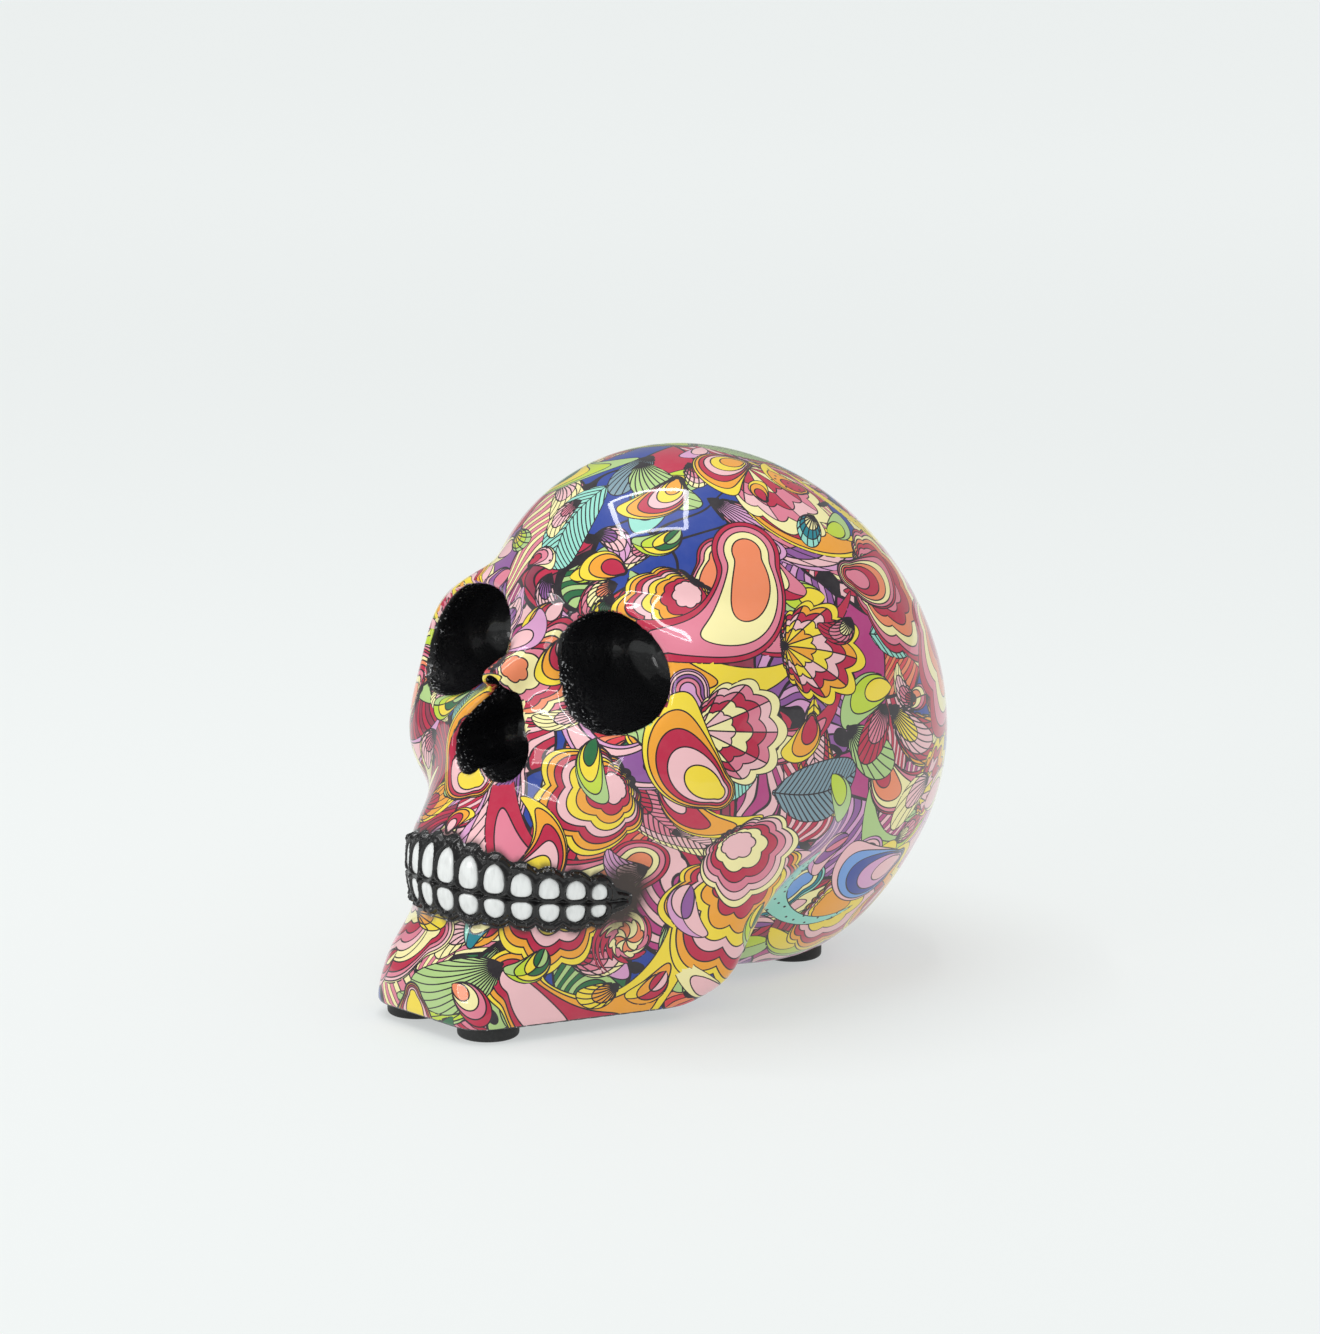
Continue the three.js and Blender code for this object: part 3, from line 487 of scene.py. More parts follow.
# Half width of a tooth face at a height, as a share of its greatest, from the biting edge to the root.
TOOTH_HEIGHT_SHARES = (0, 0.04, 0.12, 0.32, 0.6, 0.78, 0.9, 0.97, 1)
TOOTH_HALF_SHARES = (0.72, 0.84, 0.95, 1, 0.93, 0.8, 0.6, 0.36, 0)


# Distance of places on the band from the nearest tooth outline of a row, negative inside it.
def tooth_distance(along, rise, row):
    best = np.full(np.broadcast(along, rise).shape, 1.0)
    for tooth in TEETH:
        height = tooth[row]
        half = (tooth["pitch"] - FRAME_WIDTH) / 2
        u = (np.abs(along) - tooth["centre"]) / half
        v = (rise - BITE_GAP / 2) / height
        widest = np.interp(np.clip(v, 0, 1), TOOTH_HEIGHT_SHARES, TOOTH_HALF_SHARES)
        widest = np.maximum(widest, TOOTH_LEAST_HALF_SHARE)
        inner_u = np.abs(u) / widest
        lift = np.abs(2 * v - 1)
        level = (inner_u**TOOTH_POWER + lift**TOOTH_POWER) ** (1 / TOOTH_POWER)
        distance = (level - 1) * np.where(inner_u > lift, half * widest, height / 2)
        best = np.minimum(best, distance)
    return best


# Edge of the band above or below the bite: a scallop round each tooth, falling between them.
def band_edge(along, row):
    reaches = [np.full(np.shape(along), FRAME_MARGIN)]
    for tooth in TEETH:
        off = 2 * (np.abs(along) - tooth["centre"]) / tooth["pitch"]
        reaches.append(tooth[row] + FRAME_MARGIN - FRAME_NOTCH * off**2)
    fade = np.clip((BAND_LENGTH - np.abs(along)) / BAND_END_LENGTH, 0, 1)
    return (BITE_GAP / 2 + np.max(reaches, axis=0)) * (BAND_TIP_SHARE + (1 - BAND_TIP_SHARE) * np.sqrt(fade))


# Signed distances on the band, in metres: to its painted edge, and to the nearest tooth outline.
def band_distances(along, z):
    rise = z - bite_height(along)
    upper, lower = band_edge(along, "upper"), band_edge(along, "lower")
    edge = np.where(rise > 0, rise - upper, -rise - lower)
    edge = np.maximum(edge, (np.abs(along) - BAND_LENGTH) * BAND_TIP_SLOPE)
    above, below = tooth_distance(along, rise, "upper"), tooth_distance(along, -rise, "lower")
    return edge, np.where(rise > 0, above, below), rise


# 1 where the offset is zero, fading over the width.
def crest(offset, width):
    return np.exp(-((offset / width) ** 2))


# A mesh object at the origin from points and faces.
def new_piece(name, points, faces):
    mesh = bpy.data.meshes.new(name)
    mesh.from_pydata(points.tolist(), [], faces.tolist())
    mesh.update()
    piece = bpy.data.objects.new(name, mesh)
    bpy.context.scene.collection.objects.link(piece)
    return piece


def clear_selection():
    if bpy.context.object is not None and bpy.context.object.mode != "OBJECT":
        bpy.ops.object.mode_set(mode="OBJECT")
    bpy.ops.object.select_all(action="DESELECT")


def make_active(piece):
    clear_selection()
    piece.select_set(True)
    bpy.context.view_layer.objects.active = piece


# Turn the active piece's faces outwards and shade them smooth.
def smooth_outwards():
    bpy.ops.object.mode_set(mode="EDIT")
    bpy.ops.mesh.select_all(action="SELECT")
    bpy.ops.mesh.normals_make_consistent(inside=False)
    bpy.ops.object.mode_set(mode="OBJECT")
    bpy.ops.object.shade_smooth()


# Put a mesh's faces in the order of their corners, because Blender lists a new sphere's in any order.
def sort_faces(mesh):
    count = len(mesh.vertices)
    sorting = bmesh.new()
    sorting.from_mesh(mesh)
    sorting.faces.sort(key=lambda face: sum(v.index * count**n for n, v in enumerate(face.verts)))
    sorting.to_mesh(mesh)
    sorting.free()


def mesh_points(piece):
    flat = np.empty(3 * len(piece.data.vertices))
    piece.data.vertices.foreach_get("co", flat)
    return flat.reshape(-1, 3)


def set_points(piece, points):
    piece.data.vertices.foreach_set("co", points.ravel())
    piece.data.update()


def add_attribute(piece, name, kind, domain, values):
    layer = piece.data.attributes.new(name, kind, domain)
    layer.data.foreach_set("vector" if kind == "FLOAT_VECTOR" else "value", values.ravel())


class SkullSizes(bpy.types.PropertyGroup):
    """Sizes of the visible surface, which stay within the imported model."""

    skin_step: bpy.props.FloatProperty(
        name="Skin spacing",
        description="Distance between the points of the casting's surface",
        default=0.00114,
        min=0.0008,
        unit="LENGTH",
    )
    frame_bead: bpy.props.FloatProperty(
        name="Frame bead",
        description="Height of the raised bead round each tooth over the band",
        default=0.00062,
        unit="LENGTH",
    )
    tooth_crown: bpy.props.FloatProperty(
        name="Tooth crown",
        description="How far the middle of a tooth face stands over its edge",
        default=0.00025,
        unit="LENGTH",
    )
    foot_round: bpy.props.FloatProperty(
        name="Foot edge radius",
        description="Radius of the rounded lower edge of a rubber foot",
        default=0.0008,
        unit="LENGTH",
    )


class SkullLooks(bpy.types.PropertyGroup):
    """Colours and lines of the print, the paint and the stage."""

    outline_width: bpy.props.FloatProperty(
        name="Outline",
        description="Width of the black outline round each printed motif",
        default=0.00032,
        unit="LENGTH",
    )
    hatch_width: bpy.props.FloatProperty(
        name="Hatch",
        description="Width of the thin black lines within a printed motif",
        default=0.00017,
        unit="LENGTH",
    )
    print_seed: bpy.props.IntProperty(
        name="Layout",
        description="Number that the layout of the printed motifs is drawn from",
        default=7,
        min=0,
    )
    black_paint: bpy.props.FloatVectorProperty(
        name="Black paint",
        description="Colour of the paint in the sockets and the nose",
        default=(0.006, 0.006, 0.007),
        subtype="COLOR",
        size=3,
    )
    enamel: bpy.props.FloatVectorProperty(
        name="Enamel",
        description="Colour of the tooth faces",
        default=(0.87, 0.88, 0.87),
        subtype="COLOR",
        size=3,
    )
    rubber: bpy.props.FloatVectorProperty(
        name="Rubber",
        description="Colour of the feet",
        default=(0.012, 0.012, 0.012),
        subtype="COLOR",
        size=3,
    )
    floor: bpy.props.FloatVectorProperty(
        name="Floor",
        description="Colour of the floor and of the backdrop",
        default=(0.84, 0.865, 0.86),
        subtype="COLOR",
        size=3,
    )


# A shader value that takes Python's arithmetic, one node to each step. A bar between two takes the larger.
class Value:
    def __init__(self, wiring, socket):
        self.wiring, self.socket = wiring, socket

    def step(self, operation, *others):
        return self.wiring.math(operation, self, *others)

    def __add__(self, other):
        return self.step("ADD", other)

    def __sub__(self, other):
        return self.step("SUBTRACT", other)

    def __rsub__(self, other):
        return self.wiring.math("SUBTRACT", other, self)

    def __mul__(self, other):
        return self.step("MULTIPLY", other)

    def __truediv__(self, other):
        return self.step("DIVIDE", other)

    def __pow__(self, other):
        return self.step("POWER", other)

    def __lt__(self, other):
        return self.step("LESS_THAN", other)

    def __gt__(self, other):
        return self.step("GREATER_THAN", other)

    def __or__(self, other):
        return self.step("MAXIMUM", other)

    def __abs__(self):
        return self.step("ABSOLUTE")

    # How far it lies from the nearest whole number.
    def off_whole(self):
        return abs(self - self.step("ROUND"))

    # 1 where its whole part is odd, 0 where it is even.
    def odd(self):
        return abs(self.step("FLOOR")).step("MODULO", 2.0)


# Short ways to add and join shader nodes.
class Wiring:
    def __init__(self, tree):
        self.tree = tree

    def node(self, kind, **settings):
        made = self.tree.nodes.new(kind)
        for key, value in settings.items():
            setattr(made, key, value)
        return made

    def put(self, socket, value):
        value = value.socket if isinstance(value, Value) else value
        if isinstance(value, bpy.types.NodeSocket):
            self.tree.links.new(value, socket)
        else:
            socket.default_value = value

    # The node's output once its inputs hold the values in their order.
    def filled(self, node, values, output=0):
        for socket, value in zip(node.inputs, values):
            self.put(socket, value)
        return Value(self, node.outputs[output])

    def math(self, operation, *values, clamp=False):
        return self.filled(self.node("ShaderNodeMath", operation=operation, use_clamp=clamp), values)

    def vector(self, operation, *values):
        made = self.node("ShaderNodeVectorMath", operation=operation)
        return self.filled(made, values, 1 if operation == "LENGTH" else 0)

    def scaled(self, vector, factor):
        made = self.node("ShaderNodeVectorMath", operation="SCALE")
        self.put(made.inputs["Scale"], factor)
        return self.filled(made, [vector])

    def blend(self, factor, a, b):
        made = self.node("ShaderNodeMix", data_type="RGBA")
        for number, value in ((0, factor), (6, a), (7, b)):
            colour = number and isinstance(value, tuple)
            self.put(made.inputs[number], (*value[:3], 1) if colour else value)
        return Value(self, made.outputs[2])

    def split(self, vector):
        made = self.node("ShaderNodeSeparateXYZ")
        self.put(made.inputs[0], vector)
        return [Value(self, output) for output in made.outputs]

    # One of several inks by a number from 0 to 1.
    def palette(self, factor, inks):
        made = self.node("ShaderNodeValToRGB")
        made.color_ramp.interpolation = "CONSTANT"
        elements = made.color_ramp.elements
        while len(elements) < len(inks):
            elements.new(1.0)
        for number, (element, ink) in enumerate(zip(elements, inks)):
            element.position = number / len(inks)
            element.color = (*ink, 1)
        return self.filled(made, [factor])

    def smooth(self, value, low, high, to_low=0.0, to_high=1.0):
        made = self.node("ShaderNodeMapRange", interpolation_type="SMOOTHSTEP")
        return self.filled(made, (value, low, high, to_low, to_high))

    def noise(self, vector, scale, detail=2.0, roughness=0.5, output=0):
        made = self.node("ShaderNodeTexNoise")
        self.put(made.inputs["Vector"], vector)
        made.inputs["Scale"].default_value = scale
        made.inputs["Detail"].default_value = detail
        made.inputs["Roughness"].default_value = roughness
        return Value(self, made.outputs[output])

    def voronoi(self, vector, scale, output, **settings):
        made = self.node("ShaderNodeTexVoronoi", **settings)
        self.put(made.inputs["Vector"], vector)
        made.inputs["Scale"].default_value = scale
        return Value(self, made.outputs[output])

    def bump(self, shader, height, strength, distance):
        made = self.node("ShaderNodeBump")
        made.inputs["Strength"].default_value = strength
        made.inputs["Distance"].default_value = distance
        self.put(made.inputs["Height"], height)
        self.put(shader.inputs["Normal"], made.outputs[0])

    def place(self):
        return self.node("ShaderNodeTexCoord").outputs["Object"]

    def attribute(self, name, output="Vector"):
        return Value(self, self.node("ShaderNodeAttribute", attribute_name=name).outputs[output])


def linear(code):
    values = [int(code[n : n + 2], 16) / 255 for n in (0, 2, 4)]
    return tuple(v / 12.92 if v <= 0.04045 else ((v + 0.055) / 1.055) ** 2.4 for v in values)


CRIMSON = linear("c01f45")
RED = linear("dc3a44")
BURGUNDY = linear("93304a")
ROSE = linear("e27f95")
SALMON = linear("f28a5e")
PALE_PINK = linear("f4c0c4")
MAGENTA = linear("b8387f")
PURPLE = linear("91569c")
LILAC = linear("dc9fcb")
YELLOW = linear("f8dc3a")
LIME = linear("c3d934")
GOLDEN = linear("f5a52e")
CREAM = linear("f9eeac")
ROYAL = linear("1f3f9b")
CORNFLOWER = linear("6f9fe0")
TEAL = linear("148594")
MINT = linear("97dccb")
PALE_GREEN = linear("b0cf84")
DARK_GREEN = linear("1f6a3b")
SLATE = linear("7e9aa6")
LINE_INK = (0.014, 0.008, 0.014)

# Inks of each scheme from a motif's rim inwards.
SCHEMES = {
    "sunny": (YELLOW, GOLDEN, CRIMSON, PALE_PINK),
    "rose": (CREAM, PALE_PINK, ROSE, CRIMSON),
    "lilac": (LILAC, PALE_PINK, PURPLE, ROSE),
    "leaf": (PALE_GREEN, LIME, YELLOW, DARK_GREEN),
    "sea": (MINT, TEAL, CREAM, CORNFLOWER),
    "sky": (PALE_PINK, CORNFLOWER, ROYAL, LILAC),
    "fire": (CRIMSON, ROSE, CREAM, SALMON),
    "slate": (SLATE, MINT, TEAL, PALE_GREEN),
}
SCHEME_NAMES = tuple(SCHEMES)
GROUND_INKS = (CRIMSON, BURGUNDY, ROYAL, ROSE, PURPLE, CRIMSON, DARK_GREEN, RED, ROYAL, MAGENTA)
SECOND_INKS = (ROSE, CRIMSON, ROYAL, CREAM, LILAC, PALE_PINK, PALE_GREEN, SALMON, ROYAL, PALE_PINK)

# How a motif is filled: flat bands, striped ribs, fine ribs, chevrons, dots, or two halves.
FLAT, STRIPED, RIBBED, CHEVRON, DOTTED, HALVED = range(6)

# Printed motifs. Each is drawn round a focus: its reach goes from the whole size straight ahead to a share of
# it behind, by a power of the turn, with lobes on its rim, ribs from the focus and nested bands.
MOTIFS = {
    "curl": dict(
        size=(0.03, 0.045), taper=(0.8, 0.86), power=(13, 20), twist=(1.2, 2.2), bands=(4, 5),
        fills=(FLAT,), schemes=("lilac", "rose", "fire", "sea", "sunny", "lilac"), spread=0.3,
    ),
    "scallop": dict(
        size=(0.02, 0.033), taper=(0.84, 0.9), power=(1.3, 2.2), twist=(0, 0.4), bands=(6, 8),
        lobe_depth=(0.1, 0.14), lobes=(9, 13), fills=(FLAT,),
        schemes=("sunny", "sunny", "rose", "sunny", "fire"), spread=0.45,
    ),
    "fan": dict(
        size=(0.016, 0.025), taper=(0.9, 0.96), power=(1.8, 2.6), twist=(0, 0.4), bands=(4, 5),
        lobe_depth=(0.1, 0.14), lobes=(16, 24), fills=(STRIPED,),
        schemes=("rose", "rose", "sunny", "fire", "rose"), spread=0.6,
    ),
    "leaf": dict(
        size=(0.017, 0.026), taper=(0.97, 1), power=(7, 12), twist=(0, 0.5), bands=(1, 1),
        ribs=(48, 64), fills=(RIBBED, RIBBED, CHEVRON),
        schemes=("leaf", "slate", "sea", "leaf", "leaf"), spread=0.5,
    ),
    "petal": dict(
        size=(0.01, 0.018), taper=(0.96, 1), power=(6, 10), twist=(0, 0.9), bands=(2, 4),
        ribs=(30, 44), fills=(HALVED, RIBBED, FLAT),
        schemes=("rose", "fire", "sunny", "sea", "leaf", "lilac", "rose"), spread=0.6,
    ),
    "flame": dict(
        size=(0.026, 0.042), taper=(1, 1), power=(14, 26), twist=(0.3, 1.4), bands=(3, 5),
        ribs=(60, 84), fills=(FLAT, RIBBED, FLAT, CHEVRON),
        schemes=("fire", "lilac", "rose", "sunny", "leaf", "lilac"), spread=0.3,
    ),
    "drop": dict(
        size=(0.015, 0.026), taper=(0.8, 0.88), power=(4, 8), twist=(0.5, 1.5), bands=(5, 6),
        fills=(FLAT,), schemes=("sunny", "rose", "fire", "sunny", "sky", "leaf"), spread=0.7,
    ),
    "ribbon": dict(
        size=(0.026, 0.036), taper=(1, 1), power=(30, 50), twist=(1.2, 2.4), bands=(1, 1),
        fills=(DOTTED,), schemes=("sky", "sea", "sunny", "slate"), spread=0.5,
    ),
    "swirl": dict(
        size=(0.007, 0.011), taper=(0.3, 0.5), power=(1.5, 2.5), twist=(2.5, 4.5), bands=(2, 3),
        lobe_depth=(0.08, 0.14), lobes=(7, 11), fills=(STRIPED,),
        schemes=("sunny", "rose", "fire", "lilac"), spread=1,
    ),
    "seed": dict(
        size=(0.007, 0.012), taper=(0.8, 0.9), power=(4, 7), twist=(0.3, 1.2), bands=(3, 4),
        fills=(FLAT, DOTTED), schemes=("leaf", "sunny", "sky", "sunny", "rose"), spread=1,
    ),
}

# Print layers from the ground up: motifs in the order they are laid, each with its number of tries.
PRINT_LAYERS = (
    (("flame", 900), ("leaf", 700), ("petal", 1000)),
    (("curl", 400), ("flame", 500), ("leaf", 300), ("petal", 900)),
    (("scallop", 130), ("fan", 130), ("curl", 240), ("flame", 200), ("leaf", 200), ("petal", 600)),
    (
        ("ribbon", 16), ("scallop", 30), ("curl", 40), ("drop", 160),
        ("petal", 400), ("swirl", 60), ("seed", 200),
    ),
)


# Reach of a motif at a turn from its heading, as a share of its size.
def motif_reach(turn, motif):
    taper = (1 - motif["taper"]) + motif["taper"] * ((1 + np.cos(turn)) / 2) ** motif["power"]
    lobes = 1 - motif["lobe_depth"] * (1 - np.abs(np.cos(motif["lobes"] * turn / 2)))
    return taper * lobes


def drawn_motif(kind, rng):
    rules = MOTIFS[kind]

    def between(name):
        low, high = rules.get(name, (0, 0))
        return float(rng.uniform(low, high))

    def whole(name):
        low, high = rules.get(name, (0, 0))
        return int(rng.integers(low, high + 1))

    def one_of(name):
        return rules[name][int(rng.integers(len(rules[name])))]

    side = 1 if rng.random() < 0.5 else -1
    lobes = whole("lobes")
    return {
        "size": between("size"),
        "taper": between("taper"),
        "power": between("power"),
        "twist": side * between("twist"),
        "lobe_depth": between("lobe_depth"),
        "lobes": lobes,
        "ribs": whole("ribs") if "ribs" in rules else lobes,
        "bands": whole("bands"),
        "fill": one_of("fills"),
        "scheme": SCHEME_NAMES.index(one_of("schemes")),
        "spin": float(rng.uniform(-1, 1)) * math.pi * rules["spread"],
    }


# How much farther than it looks a place may lie round a bend, and how far a motif may wrap round one.
GREATEST_STRETCH = 1.6
LEAST_FACING = 0.1

# Where a motif hangs down to, and the place and size that stand for no motif at all.
HANGING = (0.02, 0.01, -1.0)
FAR_PLACE = 9.0
NO_SIZE = 0.001


# Places round a focus on the surface, ahead and to the left of a heading, at their real distance from it.
def round_focus(points, focus, heading, left):
    offset = points - focus
    ahead, aside = offset @ heading, offset @ left
    flat = np.maximum(np.hypot(ahead, aside), 1e-9)
    stretch = np.minimum(np.linalg.norm(offset, axis=-1) / flat, GREATEST_STRETCH)
    return ahead * stretch, aside * stretch


# Lay one layer of motifs at random places, each where no other motif of the layer lies.
def lay_print(centres, normals, corners, printable, layer_plan, rng, margin):
    place = np.full(corners.shape, FAR_PLACE, np.float32)
    place[..., 2] = NO_SIZE
    outline, lobes, inks = (np.ones((len(centres), 3), np.float32) for _ in range(3))
    free = printable.copy()
    for kind, tries in layer_plan:
        for _ in range(tries):
            motif = drawn_motif(kind, rng)
            face = int(rng.integers(len(centres)))
            if not free[face]:
                continue
            size, spin = motif["size"], motif["spin"]
            focus, normal = centres[face], normals[face]
            offset = centres - focus
            near = np.flatnonzero((offset * offset).sum(1) < (size + margin) ** 2)
            near = near[normals[near] @ normal > LEAST_FACING]
            down = np.array(HANGING) - normal * (np.array(HANGING) @ normal)
            down /= np.linalg.norm(down)
            side = np.cross(normal, down)
            heading = math.cos(spin) * down + math.sin(spin) * side
            left = np.cross(normal, heading)
            ahead, aside = round_focus(centres[near], focus, heading, left)
            distance = np.hypot(ahead, aside)
            turn = np.arctan2(aside, ahead) + motif["twist"] * (distance / size) ** 2
            rows = near[distance < motif_reach(turn, motif) * size + margin]
            if not free[rows].all():
                continue
            free[rows] = False
            ahead, aside = round_focus(corners[rows], focus, heading, left)
            place[rows] = np.stack([ahead / size, aside / size, np.full(ahead.shape, size)], -1)
            outline[rows] = (motif["taper"], motif["power"], motif["twist"])
            lobes[rows] = (motif["lobe_depth"], motif["lobes"], motif["ribs"])
            inks[rows] = (motif["scheme"], motif["bands"], motif["fill"])
    return place, outline, lobes, inks


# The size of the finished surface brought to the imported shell's box, axis by axis.
def fitted(points):
    low, high = points.min(0), points.max(0)
    want_low, want_high = np.array(SHELL_BOX[0]), np.array(SHELL_BOX[1])
    return want_low + (points - low) * (want_high - want_low) / (high - low)


def quad_normals(corners):
    across = np.cross(corners[:, 2] - corners[:, 0], corners[:, 3] - corners[:, 1])
    return across / np.maximum(np.linalg.norm(across, axis=1, keepdims=True), 1e-12)


# Depth below the face at which the black paint of the sockets and the nose begins, how far round them it is
# looked for, and the width of the paint round the mouth band.
PAINT_DEPTH = 0.0009
SOCKET_PAINT_LEVEL = 1.2
SOCKET_PAINT_SETBACK = 0.012
NOSE_PAINT_REACH = 0.003
NOSE_PAINT_SETBACK = 0.03
BAND_PAINT = 0.0006
LOWER_FACE = 0.056

# Mist that was sprayed past the paint: its strength and width along the band's edge, and round the corner of
# the mouth with the middle of the smear there, from the band's end and above the bite.
EDGE_MIST_STRENGTH = 0.75
EDGE_MIST = 0.0016
EDGE_MIST_REACH = 0.02
CORNER_MIST_STRENGTH = 1.45
CORNER_MIST = 0.0064
CORNER_SETBACK = 0.0022
CORNER_RISE = 0.0008
CORNER_SQUASH = 0.85


# Signed distance of surface points from the black paint, and how much black mist lies over the print.
def paint_masks(points, outside):
    x, y, z = p = tuple(points.T)
    in_socket = (socket_level(p) < SOCKET_PAINT_LEVEL) & (y < -SOCKET_PAINT_SETBACK)
    in_nose = (nose_outline(x, z - UNDERSIDE) < NOSE_PAINT_REACH) & (y < -NOSE_PAINT_SETBACK)
    paint = np.where(in_socket | in_nose, outside + PAINT_DEPTH, 1)
    angle = np.arctan2(np.abs(x), -(y + FAN_SETBACK))
    along = np.interp(angle, ARCH_ANGLES, ARCH_LENGTHS)
    edge, _, rise = band_distances(along, z)
    lower = (z < LOWER_FACE) & (angle < ARCH_REACH)
    edge = np.where(lower, edge, 1)
    paint = np.minimum(paint, edge - BAND_PAINT)
    corner = np.hypot(along - BAND_LENGTH + CORNER_SETBACK, (rise - CORNER_RISE) * CORNER_SQUASH)
    mist = CORNER_MIST_STRENGTH * crest(corner, CORNER_MIST)
    edge_mist = EDGE_MIST_STRENGTH * crest(np.clip(edge, 0, EDGE_MIST_REACH), EDGE_MIST)
    return paint, np.where(lower, np.maximum(mist, edge_mist), 0)


# Bare resin: within these distances of the hollow and of the pour hole's middle, and this deep.
HOLLOW_REACH = 0.0004
POUR_HOLE_REACH = 0.0086
RAW_DEPTH = 0.0002

# Room for the surface at the sides, how steeply down a face may look and still be printed on, and how far
# apart motifs lie, in steps of the skin.
SIDE_MARGIN_SHARE = 1.02
PRINTED_DOWN_TO = -0.93
MOTIF_GAP_STEPS = 0.9


class SKULL_OT_casting(bpy.types.Operator):
    """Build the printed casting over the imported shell"""

    bl_idname = "skull.casting"
    bl_label = "Printed casting"

    def execute(self, context):
        sizes, looks = context.scene.skull_sizes, context.scene.skull_looks
        side = HALF_WIDTH * SIDE_MARGIN_SHARE
        low = (-side, FACE_FRONT, UNDERSIDE)
        high = (side, CASTING_LENGTH / 2, UNDERSIDE + CASTING_HEIGHT)
        points, quads = skin_of(shell_field, low, high, sizes.skin_step)
        p = tuple(points.T)
        outside = casting_field(p)
        raw = hollow_field(p, outside) < HOLLOW_REACH
        raw |= np.hypot(p[0], p[1] - POUR_HOLE_SETBACK) < POUR_HOLE_REACH
        raw &= outside < -RAW_DEPTH
        paint, mist = paint_masks(points, outside)
        points = fitted(points)
        piece = new_piece("printed_casting", points, quads)
        corners = points[quads]
        centres, normals = corners.mean(1), quad_normals(corners)
        printable = ~raw[quads].any(1) & (normals[:, 2] > PRINTED_DOWN_TO)
        rng = np.random.default_rng(looks.print_seed)
        for number, plan in enumerate(PRINT_LAYERS, 1):
            gap = sizes.skin_step * MOTIF_GAP_STEPS
            parts = lay_print(centres, normals, corners, printable, plan, rng, gap)
            for name, values in zip(("place", "outline", "lobes", "inks"), parts):
                domain = "CORNER" if name == "place" else "FACE"
                add_attribute(piece, f"{name}_{number}", "FLOAT_VECTOR", domain, values)
        for name, values in (("paint", paint), ("mist", mist), ("raw", raw)):
            add_attribute(piece, name, "FLOAT", "POINT", values.astype(np.float32))
        make_active(piece)
        bpy.ops.object.shade_smooth()
        piece.data.materials.append(film_material(looks))
        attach(piece, "root")
        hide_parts("skull_shell")
        return {"FINISHED"}


# Relief of the mouth band over the face: its body, the beads round the teeth and along its edge with where
# they run, the bite groove, the floor of a tooth pocket, and the skirt that dips under the film.
BAND_HEIGHT = 0.00042
BEAD_OFFSET = 0.0006
BEAD_WIDTH = 0.00042
EDGE_BEAD_SHARE = 0.55
EDGE_BEAD_OFFSET = 0.0007
EDGE_BEAD_WIDTH = 0.0005
GROOVE_DEPTH = 0.0006
GROOVE_WIDTH = 0.0004
POCKET_LEVEL = -0.0004
POCKET_MARGIN = 0.0001
POCKET_FADE = 0.0003
SKIRT = 0.0007
SKIRT_START = 0.00045
SKIRT_FADE = 0.0009
SKIRT_POWER = 1.6
BAND_THICKNESS = 0.0016

# Points of the band along it and up it, and the brush's waves on it: their height, how fast they turn along
# it, up it and as they sway, in radians to the metre, and how far they sway and where they start.
BAND_GRID = (330, 66)
WAVE_HEIGHT = 0.00005
WAVES_ALONG = 2300
WAVES_UP = 2700
WAVES_SWAYING = 1900
WAVE_SWAY = 3
WAVE_START = 1.3


class SKULL_OT_mouth_band(bpy.types.Operator):
    """Build the mouth band with a bead round each tooth"""

    bl_idname = "skull.mouth_band"
    bl_label = "Mouth band"

    def execute(self, context):
        sizes = context.scene.skull_sizes
        clear_selection()
        bpy.ops.mesh.primitive_grid_add(
            x_subdivisions=BAND_GRID[0], y_subdivisions=BAND_GRID[1], size=1
        )
        piece = context.object
        piece.name = piece.data.name = "mouth_band"
        flat = mesh_points(piece)
        along = 2 * flat[:, 0] * BAND_LENGTH
        share = 2 * flat[:, 1]
        reach = np.where(share > 0, band_edge(along, "upper"), band_edge(along, "lower")) + SKIRT
        z = bite_height(along) + share * reach
        angle = arch_angle(along)
        radius = face_radius(angle, z)
        edge, tooth, rise = band_distances(along, z)
        relief = self.relief(edge, tooth, rise, sizes.frame_bead)
        sway = WAVE_SWAY * np.sin(z * WAVES_SWAYING)
        waves = np.sin(along * WAVES_ALONG + sway) * np.sin(z * WAVES_UP + WAVE_START)
        set_points(piece, np.stack(ray_place(angle, z, radius + relief + WAVE_HEIGHT * waves), 1))
        make_active(piece)
        solid = piece.modifiers.new("Seat", "SOLIDIFY")
        solid.thickness = BAND_THICKNESS
        solid.offset = -1
        bpy.ops.object.modifier_apply(modifier=solid.name)
        smooth_outwards()
        piece.data.materials.append(black_gloss_material())
        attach(piece, "root")
        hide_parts("skull_shell")
        return {"FINISHED"}

    # Height over the face: beads round the teeth and along the edge, the bite groove, and tooth pockets.
    def relief(self, edge, tooth, rise, bead):
        height = BAND_HEIGHT + bead * crest(tooth - BEAD_OFFSET, BEAD_WIDTH)
        height += EDGE_BEAD_SHARE * bead * crest(edge + EDGE_BEAD_OFFSET, EDGE_BEAD_WIDTH)
        height -= GROOVE_DEPTH * crest(rise, GROOVE_WIDTH)
        pocket = np.clip((POCKET_MARGIN - tooth) / POCKET_FADE, 0, 1)
        pocket = pocket * pocket * (3 - 2 * pocket)
        height += pocket * (POCKET_LEVEL - height)
        skirt = np.clip((edge + SKIRT_START) / SKIRT_FADE, 0, 1)
        return height + skirt**SKIRT_POWER * (-SKIRT - height)


# A tooth face: its gap to the frame, its half thickness, how square its slab is in plan and at the edge.
TOOTH_GAP = 0.00004
TOOTH_HALF_DEPTH = 0.0004
TOOTH_PLAN_POWER = 0.6
TOOTH_EDGE_POWER = 0.45


